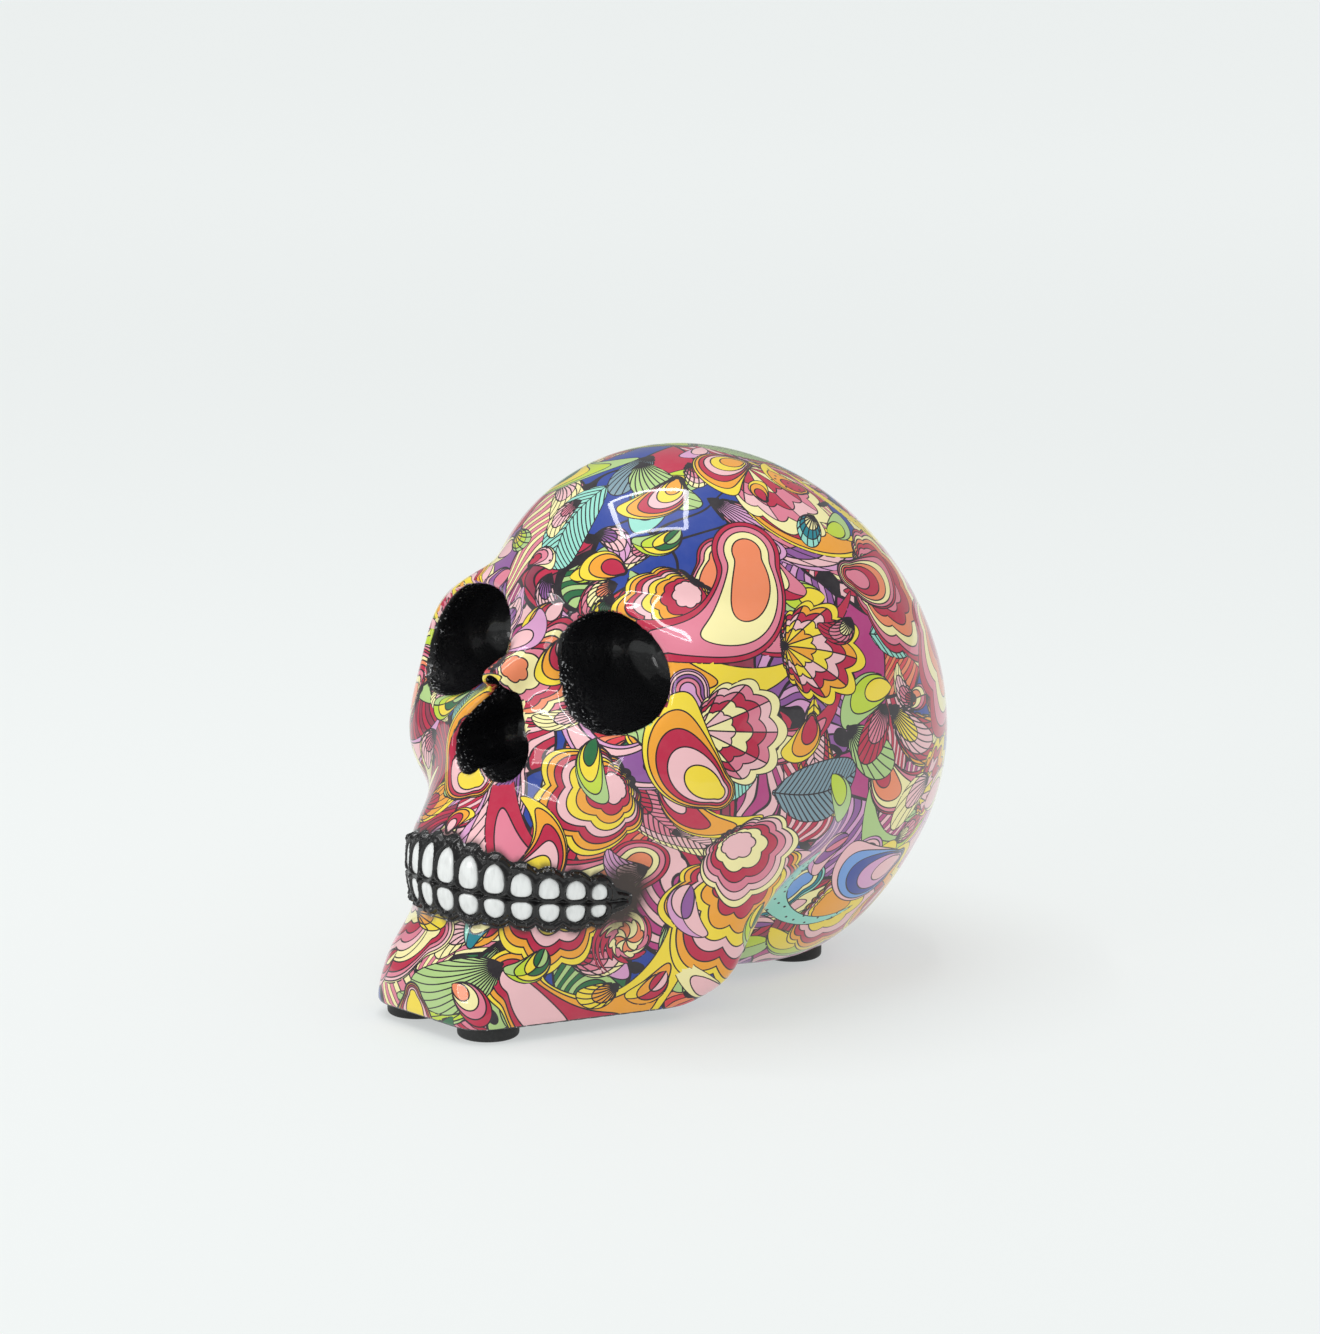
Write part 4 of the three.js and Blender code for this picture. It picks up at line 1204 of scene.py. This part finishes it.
class SKULL_OT_teeth(bpy.types.Operator):
    """Build the white enamel face of every tooth in its frame"""

    bl_idname = "skull.teeth"
    bl_label = "Tooth faces"

    def execute(self, context):
        sizes, looks = context.scene.skull_sizes, context.scene.skull_looks
        clear_selection()
        bpy.ops.mesh.primitive_uv_sphere_add(segments=36, ring_count=18, radius=1)
        pattern = context.object
        sort_faces(pattern.data)
        ball = mesh_points(pattern)
        enamel = enamel_material(looks)
        for row in ("upper", "lower"):
            for side, letter in ((1, "L"), (-1, "R")):
                for number, tooth in enumerate(TEETH, 1):
                    node = f"{row}_tooth_{letter}{number}"
                    piece = pattern.copy()
                    piece.data = pattern.data.copy()
                    piece.name = piece.data.name = "enamel_" + node
                    context.scene.collection.objects.link(piece)
                    set_points(piece, self.shaped(ball, tooth, row, side, sizes.tooth_crown))
                    make_active(piece)
                    smooth_outwards()
                    piece.data.materials.append(enamel)
                    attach(piece, "root")
                    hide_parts(node)
        bpy.data.objects.remove(pattern)
        return {"FINISHED"}

    # A ball pressed to a rounded slab with the tooth's outline, and laid on the band.
    def shaped(self, ball, tooth, row, side, crown):
        half = (tooth["pitch"] - FRAME_WIDTH) / 2 - TOOTH_GAP
        plan = np.hypot(ball[:, 0], ball[:, 1])
        turn = np.arctan2(ball[:, 1], ball[:, 0])
        spread = np.clip(plan, 0, 1) ** TOOTH_PLAN_POWER * self.outline(turn)
        u = spread * np.cos(turn)
        v = 0.5 + 0.5 * spread * np.sin(turn)
        dome = np.sign(ball[:, 2]) * np.abs(ball[:, 2]) ** TOOTH_EDGE_POWER
        offset = TOOTH_HALF_DEPTH * dome + crown * np.clip(ball[:, 2], 0, 1)
        along = side * (tooth["centre"] + u * half)
        rise = BITE_GAP / 2 + v * tooth[row]
        z = bite_height(tooth["centre"]) + (rise if row == "upper" else -rise)
        angle = arch_angle(along)
        return np.stack(ray_place(angle, z, face_radius(angle, z) + offset), 1)

    # Reach of the outline from the middle of the tooth at each turn.
    def outline(self, turn):
        low, high = np.zeros(len(turn)), np.full(len(turn), 1.6)
        for _ in range(24):
            middle = (low + high) / 2
            u, lift = middle * np.cos(turn), middle * np.sin(turn)
            v = np.clip(0.5 + 0.5 * lift, 0, 1)
            widest = np.interp(v, TOOTH_HEIGHT_SHARES, TOOTH_HALF_SHARES)
            widest = np.maximum(widest, TOOTH_LEAST_HALF_SHARE)
            level = np.abs(u / widest) ** TOOTH_POWER + np.abs(lift) ** TOOTH_POWER
            low = np.where(level < 1, middle, low)
            high = np.where(level < 1, high, middle)
        return low


# Underside of a foot: its rim, and the step and depth of the dish inside it.
FOOT_RIM = 0.0014
FOOT_DISH = 0.0003


class SKULL_OT_feet(bpy.types.Operator):
    """Build the four rubber feet"""

    bl_idname = "skull.feet"
    bl_label = "Rubber feet"

    def execute(self, context):
        sizes, looks = context.scene.skull_sizes, context.scene.skull_looks
        rubber = rubber_material(looks)
        for node in ("front_foot_left", "front_foot_right", "rear_foot_left", "rear_foot_right"):
            low, high = (Vector(corner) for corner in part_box(node))
            middle = (low + high) / 2
            clear_selection()
            bpy.ops.mesh.primitive_cylinder_add(
                vertices=72, radius=(high.x - low.x) / 2, depth=high.z - low.z, location=middle
            )
            piece = context.object
            piece.name = piece.data.name = "rubber_" + node
            bpy.ops.object.transform_apply(location=True, rotation=True, scale=True)
            self.finish_bottom(piece, sizes.foot_round)
            bpy.ops.object.mode_set(mode="OBJECT")
            bpy.ops.object.shade_smooth_by_angle(angle=math.radians(40))
            piece.data.materials.append(rubber)
            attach(piece, "root")
            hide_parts(node)
        return {"FINISHED"}

    # The bottom face gets a rounded edge and a shallow dish inside a rim.
    def finish_bottom(self, piece, radius):
        bpy.ops.object.mode_set(mode="EDIT")
        bpy.ops.mesh.select_mode(type="FACE")
        bpy.ops.mesh.select_all(action="DESELECT")
        bpy.ops.object.mode_set(mode="OBJECT")
        for face in piece.data.polygons:
            face.select = face.normal.z < -0.9
        bpy.ops.object.mode_set(mode="EDIT")
        bpy.ops.mesh.bevel(offset=radius, segments=4, affect="EDGES")
        bpy.ops.mesh.select_all(action="DESELECT")
        bpy.ops.object.mode_set(mode="OBJECT")
        for face in piece.data.polygons:
            face.select = face.normal.z < -0.99 and len(face.vertices) > 8
        bpy.ops.object.mode_set(mode="EDIT")
        bpy.ops.mesh.inset(thickness=FOOT_RIM)
        bpy.ops.mesh.inset(thickness=FOOT_DISH)
        bpy.ops.transform.translate(value=(0, 0, FOOT_DISH))


def principled(name, **values):
    material = bpy.data.materials.new(name)
    material.use_nodes = True
    shader = material.node_tree.nodes["Principled BSDF"]
    for key, value in values.items():
        shader.inputs[key.replace("_", " ").title().replace("Ior", "IOR")].default_value = value
    return material, Wiring(material.node_tree), shader


def new_group(name, inputs, outputs):
    group = bpy.data.node_groups.new(name, "ShaderNodeTree")
    kinds = {"float": "NodeSocketFloat", "vector": "NodeSocketVector", "colour": "NodeSocketColor"}
    for side, sockets in (("INPUT", inputs), ("OUTPUT", outputs)):
        for label, kind in sockets:
            group.interface.new_socket(label, in_out=side, socket_type=kinds[kind])
    wiring = Wiring(group)
    return group, wiring, wiring.node("NodeGroupInput").outputs, wiring.node("NodeGroupOutput").inputs


# Inside a motif: how much narrower its bands grow towards the rim, the share of a band that its middle keeps
# free of lines, the spacing and lean of chevrons, and its dots: to the metre, how uneven, and their radius.
BAND_NARROWING = 1.6
PLAIN_MIDDLE = 0.4
CHEVRON_SPACING = 0.0015
CHEVRON_LEAN = 0.9
CHEVRON_SLANT_SHARE = 0.74
DOT_SCALE = 380
DOT_RANDOMNESS = 0.55
DOT_RADIUS = 0.12
WHOLE_TURN = 2 * math.pi


# One printed motif from its local place and its drawing values: its colour and where it lies.
def motif_group():
    group, w, given, made = new_group(
        "Printed motif",
        (
            *((name, "vector") for name in ("Place", "Outline", "Lobes", "Inks")),
            ("Outline Width", "float"),
            ("Hatch Width", "float"),
        ),
        (("Colour", "colour"), ("Mask", "float")),
    )
    hatch = given["Hatch Width"]
    ahead, aside, size = w.split(given["Place"])
    taper, power, twist = w.split(given["Outline"])
    depth, lobes, ribs = w.split(given["Lobes"])
    scheme, bands, fill = w.split(given["Inks"])
    squared = ahead * ahead + aside * aside
    distance = squared.step("SQRT")
    turn = twist * squared + aside.step("ARCTAN2", ahead)
    ahead_part = taper * (turn.step("COSINE") * 0.5 + 0.5) ** power
    tapered = 1.0 - taper + ahead_part | 0.0001
    half_turn = turn * lobes * 0.5
    wave = half_turn.step("COSINE")
    lobed = 1.0 - depth * (1.0 - abs(wave))
    reach = tapered * lobed
    level = distance / reach

    # The rim's slant against the ray turns lengths along the ray into widths across a line.
    slant = power * (turn * 0.5).step("TANGENT") * (ahead_part / tapered)
    slant = slant + depth * lobes * half_turn.step("SINE") * 0.5 * wave.step("SIGN") / lobed
    along_ray = twist * squared * 2.0 * slant + 1.0
    scale = reach * size * (along_ray * along_ray + slant * slant).step("INVERSE_SQRT")

    # Bands grow narrower towards the rim.
    count = level**BAND_NARROWING * bands
    rim_line = (1.0 - level) * scale < given["Outline Width"]
    growth = level ** (BAND_NARROWING - 1) * BAND_NARROWING
    band_line = (count.off_whole() * scale / (bands * growth) < hatch) * (count > PLAIN_MIDDLE)
    index = count.step("MINIMUM", bands - 0.01).step("FLOOR")
    from_rim = bands - 1.0 - index

    def filled(kind):
        return fill.step("COMPARE", float(kind), 0.5)

    # Ribs fan out from the focus, and the striped ones leave the rim plain.
    fan_turn = turn * (ribs * (1 / WHOLE_TURN))
    rib_gap = fan_turn.off_whole() * WHOLE_TURN * (distance * size / (ribs | 1.0))
    striped = filled(STRIPED) * (from_rim > 0.5)
    rib_line = (rib_gap < hatch) * (striped | filled(RIBBED))

    # Chevrons lean back from a middle line, which halved motifs have too.
    forward, outward = distance * turn.step("COSINE"), distance * turn.step("SINE")
    off_middle = abs(outward)
    chevron = (forward - off_middle * CHEVRON_LEAN) * (size / CHEVRON_SPACING)
    chevron_gap = chevron.off_whole() * (CHEVRON_SPACING * CHEVRON_SLANT_SHARE)
    chevron_line = (chevron_gap < hatch) * filled(CHEVRON)
    middle_line = (off_middle * size < hatch) * (filled(CHEVRON) | filled(HALVED))
    half = (outward > 0.0) * filled(HALVED)

    on_print = w.scaled(given["Place"], size)
    dots = w.voronoi(on_print, DOT_SCALE, "Distance", voronoi_dimensions="2D")
    dots.socket.node.inputs["Randomness"].default_value = DOT_RANDOMNESS
    dot = (dots < DOT_RADIUS) * filled(DOTTED)

    inks = [colour for scheme_inks in SCHEMES.values() for colour in scheme_inks]
    shift = from_rim + (fan_turn.odd() * striped + half)
    ink = scheme * 4.0 + shift.step("MODULO", 4.0)
    line = rim_line | band_line | (rib_line | dot) | (chevron_line | middle_line)
    w.put(made["Colour"], w.blend(line, w.palette((ink + 0.5) / float(len(inks)), inks), LINE_INK))
    w.put(made["Mask"], level < 1.0)
    return group


# Ground: patches to the metre and how they are bent and drawn out, the way round the skull that their
# stripes are counted along, the stripes' greatest lean and number to the metre, and their lines.
GROUND_SCALE = 60
WARP_SCALE = 38
WARP_REACH = 0.03
GROUND_STRETCH = (1.0, 1.0, 0.5)
ROUND_WAY = (0.75, -0.9)
STRIPE_LEAN = 1.6
STRIPE_SCALE = 640.0
STRIPED_FROM = 0.2
STRIPE_LINE = 0.1
PATCH_LINE = 0.022


# The ground behind the motifs: long patches with black borders, most of them striped in two inks.
def ground_group():
    group, w, given, made = new_group(
        "Printed ground", (("Place", "vector"),), (("Colour", "colour"),)
    )
    warp = w.vector("SUBTRACT", w.noise(given["Place"], WARP_SCALE, 1.0, output=1), (0.5, 0.5, 0.5))
    bent = w.vector("ADD", given["Place"], w.scaled(warp, WARP_REACH))
    stretched = w.vector("MULTIPLY", bent, GROUND_STRETCH)
    pick, lean, other = w.split(w.voronoi(stretched, GROUND_SCALE, "Color"))
    border = w.voronoi(stretched, GROUND_SCALE, "Distance", feature="DISTANCE_TO_EDGE") < PATCH_LINE
    x, y, z = w.split(bent)
    angle = (lean - 0.5) * STRIPE_LEAN
    round_way = (x * ROUND_WAY[0] + y * ROUND_WAY[1]) * angle.step("COSINE")
    stripe = (z * angle.step("SINE") + round_way) * STRIPE_SCALE
    hatched = other > STRIPED_FROM
    patch = 1 / len(GROUND_INKS)
    for number, ink in enumerate(GROUND_INKS):
        if ink == ROYAL:
            hatched = hatched * (1.0 - pick.step("COMPARE", (number + 0.5) * patch, 0.5 * patch))
    first, second = w.palette(pick, GROUND_INKS), w.palette(pick, SECOND_INKS)
    colour = w.blend(stripe.odd() * hatched, first, second)
    line = (stripe.off_whole() < STRIPE_LINE) * hatched | border
    w.put(made["Colour"], w.blend(line, colour, LINE_INK))
    return group


# Tints that lie over the print, among them the pale flecks of painted glints on the black paint, and the
# scales to the metre of the noises that break them up.
GRAIN_TINT = (0.9, 0.85, 0.85)
GRAIN_SHARE = 0.02
GRAIN_SCALE = 260
MIST_TINT = (0.032, 0.015, 0.01)
MIST_SCALE = 420
GLINT_FLECK_TINT = (0.5, 0.5, 0.51)
GLINT_FLECK_SCALE = 1500
GLINT_FLECK_LEVEL = 0.66
RAW_RESIN = (0.6, 0.57, 0.52)

# Edge of the black paint: how far it frays, how wide its own blur is, and how far up it reaches from below.
PAINT_FRAY = 0.0006
PAINT_BLUR = 0.00012
UNDERSIDE_PAINT = 0.0006
# Painted glints: pale flecks on the black paint near its rims stand in for the sparkle and the highlight of
# the gloss, out to this reach from the rim and frayed this far.
GLINT_FLECK_REACH = 0.0036
GLINT_FLECK_FRAY = 0.006
RIM_BRUSH_DEPTHS = (-0.0045, -0.0006)
RIM_BRUSH_STRENGTHS = (1.2, 4.5)
FRAY_SCALE = 500
GLINT_FLECK_FRAY_SCALE = 160

# Wear of the film: the range of its roughness, the brush's grain and the swell under the gloss, by the
# scales of their noises to the metre, and the strength and height of the bump that they make.
FILM_ROUGHNESS = (0.4, 0.22)
BRUSH_SCALE = 950
SWELL_SCALES = (120, 360)
SWELL_SHARES = (0.55, 0.13)
FILM_BUMP = (0.35, 0.0004)


# The printed film under clear gloss, with black paint, pale painted glints on the black near its rims, black
# mist at the mouth and bare resin inside.
def film_material(looks):
    material, w, shader = principled(
        "Printed film", roughness=0.4, coat_roughness=0.035, coat_ior=1.44, specular_ior_level=0.25
    )
    place = w.place()
    height = w.split(place)[2]
    ground = w.node("ShaderNodeGroup", node_tree=ground_group())
    w.put(ground.inputs["Place"], place)
    colour = ground.outputs["Colour"]
    motif = motif_group()
    for number in range(1, len(PRINT_LAYERS) + 1):
        layer = w.node("ShaderNodeGroup", node_tree=motif)
        for name in ("Place", "Outline", "Lobes", "Inks"):
            w.put(layer.inputs[name], w.attribute(f"{name.lower()}_{number}"))
        layer.inputs["Outline Width"].default_value = looks.outline_width
        layer.inputs["Hatch Width"].default_value = looks.hatch_width
        colour = w.blend(layer.outputs["Mask"], colour, layer.outputs["Colour"])
    grain = w.smooth(w.noise(place, GRAIN_SCALE, 4.0, 0.6), 0.35, 0.8, 0.0, GRAIN_SHARE)
    colour = w.blend(grain, colour, GRAIN_TINT)
    speckle = w.noise(place, MIST_SCALE, 4.0, 0.7) * 1.1 + 0.5
    mist = w.math("MULTIPLY", w.attribute("mist", "Fac"), speckle, clamp=True)
    colour = w.blend(w.smooth(mist, 0.05, 1.0), colour, MIST_TINT)

    depth = w.attribute("paint", "Fac")
    frayed = depth + (w.noise(place, FRAY_SCALE, 2.0) * PAINT_FRAY - PAINT_FRAY / 2)
    black = w.smooth(frayed, -PAINT_BLUR, PAINT_BLUR, 1.0, 0.0) | (height < UNDERSIDE + UNDERSIDE_PAINT)
    # Painted highlights: pale flecks on the black paint near its rims, painted in place of glints on the
    # rough gloss.
    near_rim = w.smooth(frayed + w.noise(place, GLINT_FLECK_FRAY_SCALE, 2.0) * GLINT_FLECK_FRAY, 0.0, GLINT_FLECK_REACH)
    painted_glints = (w.noise(place, GLINT_FLECK_SCALE, 1.0) > GLINT_FLECK_LEVEL) * near_rim
    colour = w.blend(black, colour, w.blend(painted_glints, tuple(looks.black_paint), GLINT_FLECK_TINT))
    raw = w.smooth(w.attribute("raw", "Fac"), 0.4, 0.6)
    w.put(shader.inputs["Base Color"], w.blend(raw, colour, RAW_RESIN))
    w.put(shader.inputs["Coat Weight"], 1.0 - (black * 0.35 | raw * 0.8))
    wear = black * w.noise(place, FRAY_SCALE, 2.0)
    w.put(shader.inputs["Roughness"], w.smooth(wear, 0.0, 0.8, *FILM_ROUGHNESS))
    rough_rim = w.smooth(depth, *RIM_BRUSH_DEPTHS, *RIM_BRUSH_STRENGTHS)
    brush = w.noise(place, BRUSH_SCALE, 3.0, 0.65) * (black * rough_rim)
    slow, quick = (w.noise(place, scale, 1.0) * share for scale, share in zip(SWELL_SCALES, SWELL_SHARES))
    w.bump(shader, brush + (slow + quick), *FILM_BUMP)
    return material


def black_gloss_material():
    material, w, shader = principled(
        "Black gloss paint", coat_weight=0.35, coat_roughness=0.07, coat_ior=1.45, specular_ior_level=0.35
    )
    place = w.place()
    wear = w.noise(place, 420, 3.0)
    w.put(shader.inputs["Base Color"], w.blend(wear, (0.004, 0.004, 0.005), (0.014, 0.013, 0.013)))
    w.put(shader.inputs["Roughness"], w.smooth(wear, 0.3, 0.8, 0.16, 0.34))
    w.bump(shader, w.noise(place, 750, 2.0, 0.6), 0.4, 0.0003)
    return material


def enamel_material(looks):
    material, w, shader = principled(
        "White enamel", roughness=0.3, coat_weight=0.5, coat_roughness=0.05, coat_ior=1.5
    )
    place = w.place()
    streak = w.noise(w.vector("MULTIPLY", place, (1.0, 1.0, 0.35)), 900, 3.0)
    shade = tuple(0.86 * c for c in looks.enamel)
    w.put(shader.inputs["Base Color"], w.blend(w.smooth(streak, 0.35, 0.75), tuple(looks.enamel), shade))
    w.bump(shader, w.noise(place, 520, 2.0), 0.25, 0.0002)
    return material


def rubber_material(looks):
    material, w, shader = principled("Black rubber")
    place = w.place()
    dust = w.noise(place, 650, 4.0, 0.6)
    grey = tuple(3 * c for c in looks.rubber)
    w.put(shader.inputs["Base Color"], w.blend(w.smooth(dust, 0.45, 0.8), tuple(looks.rubber), grey))
    w.put(shader.inputs["Roughness"], w.smooth(dust, 0.3, 0.8, 0.5, 0.75))
    w.bump(shader, w.noise(place, 1800, 2.0), 0.3, 0.0002)
    return material


# Photograph: its size, the camera's focal length and middle in pixels, and the view.
PHOTO_WIDTH_PX = 1320
PHOTO_HEIGHT_PX = 1334
FOCAL_PX = 4600
AXIS_PX = (660, 737)
LOOK_PX = (672, 735)
LOOK_PLACE = (0, 0.00333, 0.0562)
VIEW_AZIMUTH = math.radians(47.5)
VIEW_ELEVATION = math.radians(13)
VIEW_DISTANCE = 1.07
SENSOR = 36

# The floor is lit from beneath as well, which softens the shadow on it. Distances from the skull between
# which this glow rises, its strength near and far, and the share of light that the floor throws back.
GLOW_RISES = (0.3, 1.9)
FLOOR_GLOW = (0.58, 0.69)
FLOOR_RETURN = 0.42

# Size of the floor, and the paler share of its darker patches.
FLOOR_SIZE = 14
FLOOR_PATCH_SHARE = 0.985

# Each softbox: its name, its middle, its width, and how bright its panel and the strips on its edges are.
SOFTBOXES = (
    ("Overhead", (-0.17, -0.11, 1.1), 0.57, 1.1, 16),
    ("Low front", (-0.05, -1.5, 0.42), 0.4, 4, 10),
)
SOFTBOX_TARGET = Vector((0, 0, 0.09))
STRIP_SHARE = 0.07
STRIP_STEP = 0.002

# Strength of the soft light from all round, the lower one that shows mirrored in the gloss, as in a studio
# that is darker behind the camera, and the one of the backdrop past the floor.
SKY = 0.75
MIRRORED_SKY = 0.36
SEEN_SKY = 0.84
SKY_COLOUR = (0.97, 1.0, 0.995, 1)


class SKULL_OT_stage(bpy.types.Operator):
    """Build the floor, the lights and the camera of the photograph"""

    bl_idname = "skull.stage"
    bl_label = "Floor, lights and camera"

    def execute(self, context):
        looks = context.scene.skull_looks
        self.floor(context, looks)
        self.sky(context)
        for box in SOFTBOXES:
            self.softbox(*box)
        self.camera(context)
        context.scene.view_settings.view_transform = "Standard"
        return {"FINISHED"}

    def floor(self, context, looks):
        clear_selection()
        bpy.ops.mesh.primitive_plane_add(size=FLOOR_SIZE)
        floor = context.object
        floor.name = "pale_floor"
        material, w, shader = principled("Pale floor", roughness=0.7)
        tone = w.noise(w.place(), 3, 1.0)
        pale = tuple(looks.floor)
        plain = tuple(FLOOR_RETURN * c for c in pale)
        darker = tuple(FLOOR_PATCH_SHARE * c for c in plain)
        w.put(shader.inputs["Base Color"], w.blend(tone, plain, darker))
        shader.inputs["Specular IOR Level"].default_value = 0.1
        shader.inputs["Emission Color"].default_value = (*pale, 1)
        glow = w.smooth(w.vector("LENGTH", w.place()), *GLOW_RISES, *FLOOR_GLOW)
        w.put(shader.inputs["Emission Strength"], glow)
        floor.data.materials.append(material)

    def sky(self, context):
        world = bpy.data.worlds.new("Soft studio")
        context.scene.world = world
        world.use_nodes = True
        w = Wiring(world.node_tree)
        background = world.node_tree.nodes["Background"]
        background.inputs["Color"].default_value = SKY_COLOUR
        path = w.node("ShaderNodeLightPath")
        strength = w.math("MULTIPLY_ADD", path.outputs["Is Glossy Ray"], MIRRORED_SKY - SKY, SKY)
        seen = w.math("MULTIPLY_ADD", path.outputs["Is Camera Ray"], SEEN_SKY - SKY, strength)
        w.put(background.inputs["Strength"], seen)

    # A square softbox turned to the camera's side, with a brighter strip along each edge.
    def softbox(self, name, place, width, panel, edge):
        back = (Vector(place) - SOFTBOX_TARGET).normalized()
        right = Vector((math.cos(VIEW_AZIMUTH), math.sin(VIEW_AZIMUTH), 0))
        right = (right - back * right.dot(back)).normalized()
        up = back.cross(right)
        strip = STRIP_SHARE * width
        self.lamp(name, Vector(place), right, up, width, width, panel)
        for side, shift, across, tall in (
            ("right", right, strip, width),
            ("left", -right, strip, width),
            ("top", up, width, strip),
            ("bottom", -up, width, strip),
        ):
            middle = Vector(place) + shift * (width / 2) + back * STRIP_STEP
            self.lamp(f"{name} {side}", middle, right, up, across, tall, edge)

    def lamp(self, name, place, right, up, width, height, radiance):
        light = bpy.data.lights.new(name, "AREA")
        light.shape = "RECTANGLE"
        light.size, light.size_y = width, height
        light.energy = radiance * width * height * math.pi
        lamp = bpy.data.objects.new(name, light)
        bpy.context.scene.collection.objects.link(lamp)
        turn = Matrix((right, up, right.cross(up))).transposed().to_4x4()
        lamp.matrix_world = Matrix.Translation(place) @ turn
        lamp.visible_camera = False

    def camera(self, context):
        back = Vector(
            (
                math.sin(VIEW_AZIMUTH) * math.cos(VIEW_ELEVATION),
                -math.cos(VIEW_AZIMUTH) * math.cos(VIEW_ELEVATION),
                math.sin(VIEW_ELEVATION),
            )
        )
        right = Vector((math.cos(VIEW_AZIMUTH), math.sin(VIEW_AZIMUTH), 0))
        up = back.cross(right)
        ray = -back + right * (LOOK_PX[0] - AXIS_PX[0]) / FOCAL_PX
        ray -= up * (LOOK_PX[1] - AXIS_PX[1]) / FOCAL_PX
        data = bpy.data.cameras.new("Photograph")
        data.sensor_fit = "VERTICAL"
        data.sensor_height = SENSOR
        data.lens = FOCAL_PX / PHOTO_HEIGHT_PX * SENSOR
        data.shift_x = (PHOTO_WIDTH_PX / 2 - AXIS_PX[0]) / PHOTO_HEIGHT_PX
        data.shift_y = (AXIS_PX[1] - PHOTO_HEIGHT_PX / 2) / PHOTO_HEIGHT_PX
        data.clip_end = 30
        camera = bpy.data.objects.new("Photograph", data)
        context.scene.collection.objects.link(camera)
        turn = Matrix((right, up, back)).transposed().to_4x4()
        camera.matrix_world = Matrix.Translation(Vector(LOOK_PLACE) - ray * VIEW_DISTANCE) @ turn
        context.scene.camera = camera


class SKULL_PT_panel(bpy.types.Panel):
    """Sizes, looks and steps of the resin skull"""

    bl_idname = "SKULL_PT_panel"
    bl_label = "Resin Skull"
    bl_space_type = "VIEW_3D"
    bl_region_type = "UI"
    bl_category = "Resin Skull"

    def draw(self, context):
        for group in (context.scene.skull_sizes, context.scene.skull_looks):
            for name in group.__annotations__:
                self.layout.prop(group, name)
        for step in STEPS:
            self.layout.operator(step.bl_idname)


STEPS = (
    SKULL_OT_casting,
    SKULL_OT_mouth_band,
    SKULL_OT_teeth,
    SKULL_OT_feet,
    SKULL_OT_stage,
)
CLASSES = (SkullSizes, SkullLooks, *STEPS, SKULL_PT_panel)


def register():
    for item in CLASSES:
        bpy.utils.register_class(item)
    bpy.types.Scene.skull_sizes = bpy.props.PointerProperty(type=SkullSizes)
    bpy.types.Scene.skull_looks = bpy.props.PointerProperty(type=SkullLooks)


def unregister():
    del bpy.types.Scene.skull_looks
    del bpy.types.Scene.skull_sizes
    for item in reversed(CLASSES):
        bpy.utils.unregister_class(item)


def main():
    register()
    bpy.ops.skull.casting()
    bpy.ops.skull.mouth_band()
    bpy.ops.skull.teeth()
    bpy.ops.skull.feet()
    bpy.ops.skull.stage()


if __name__ == "__main__":
    main()
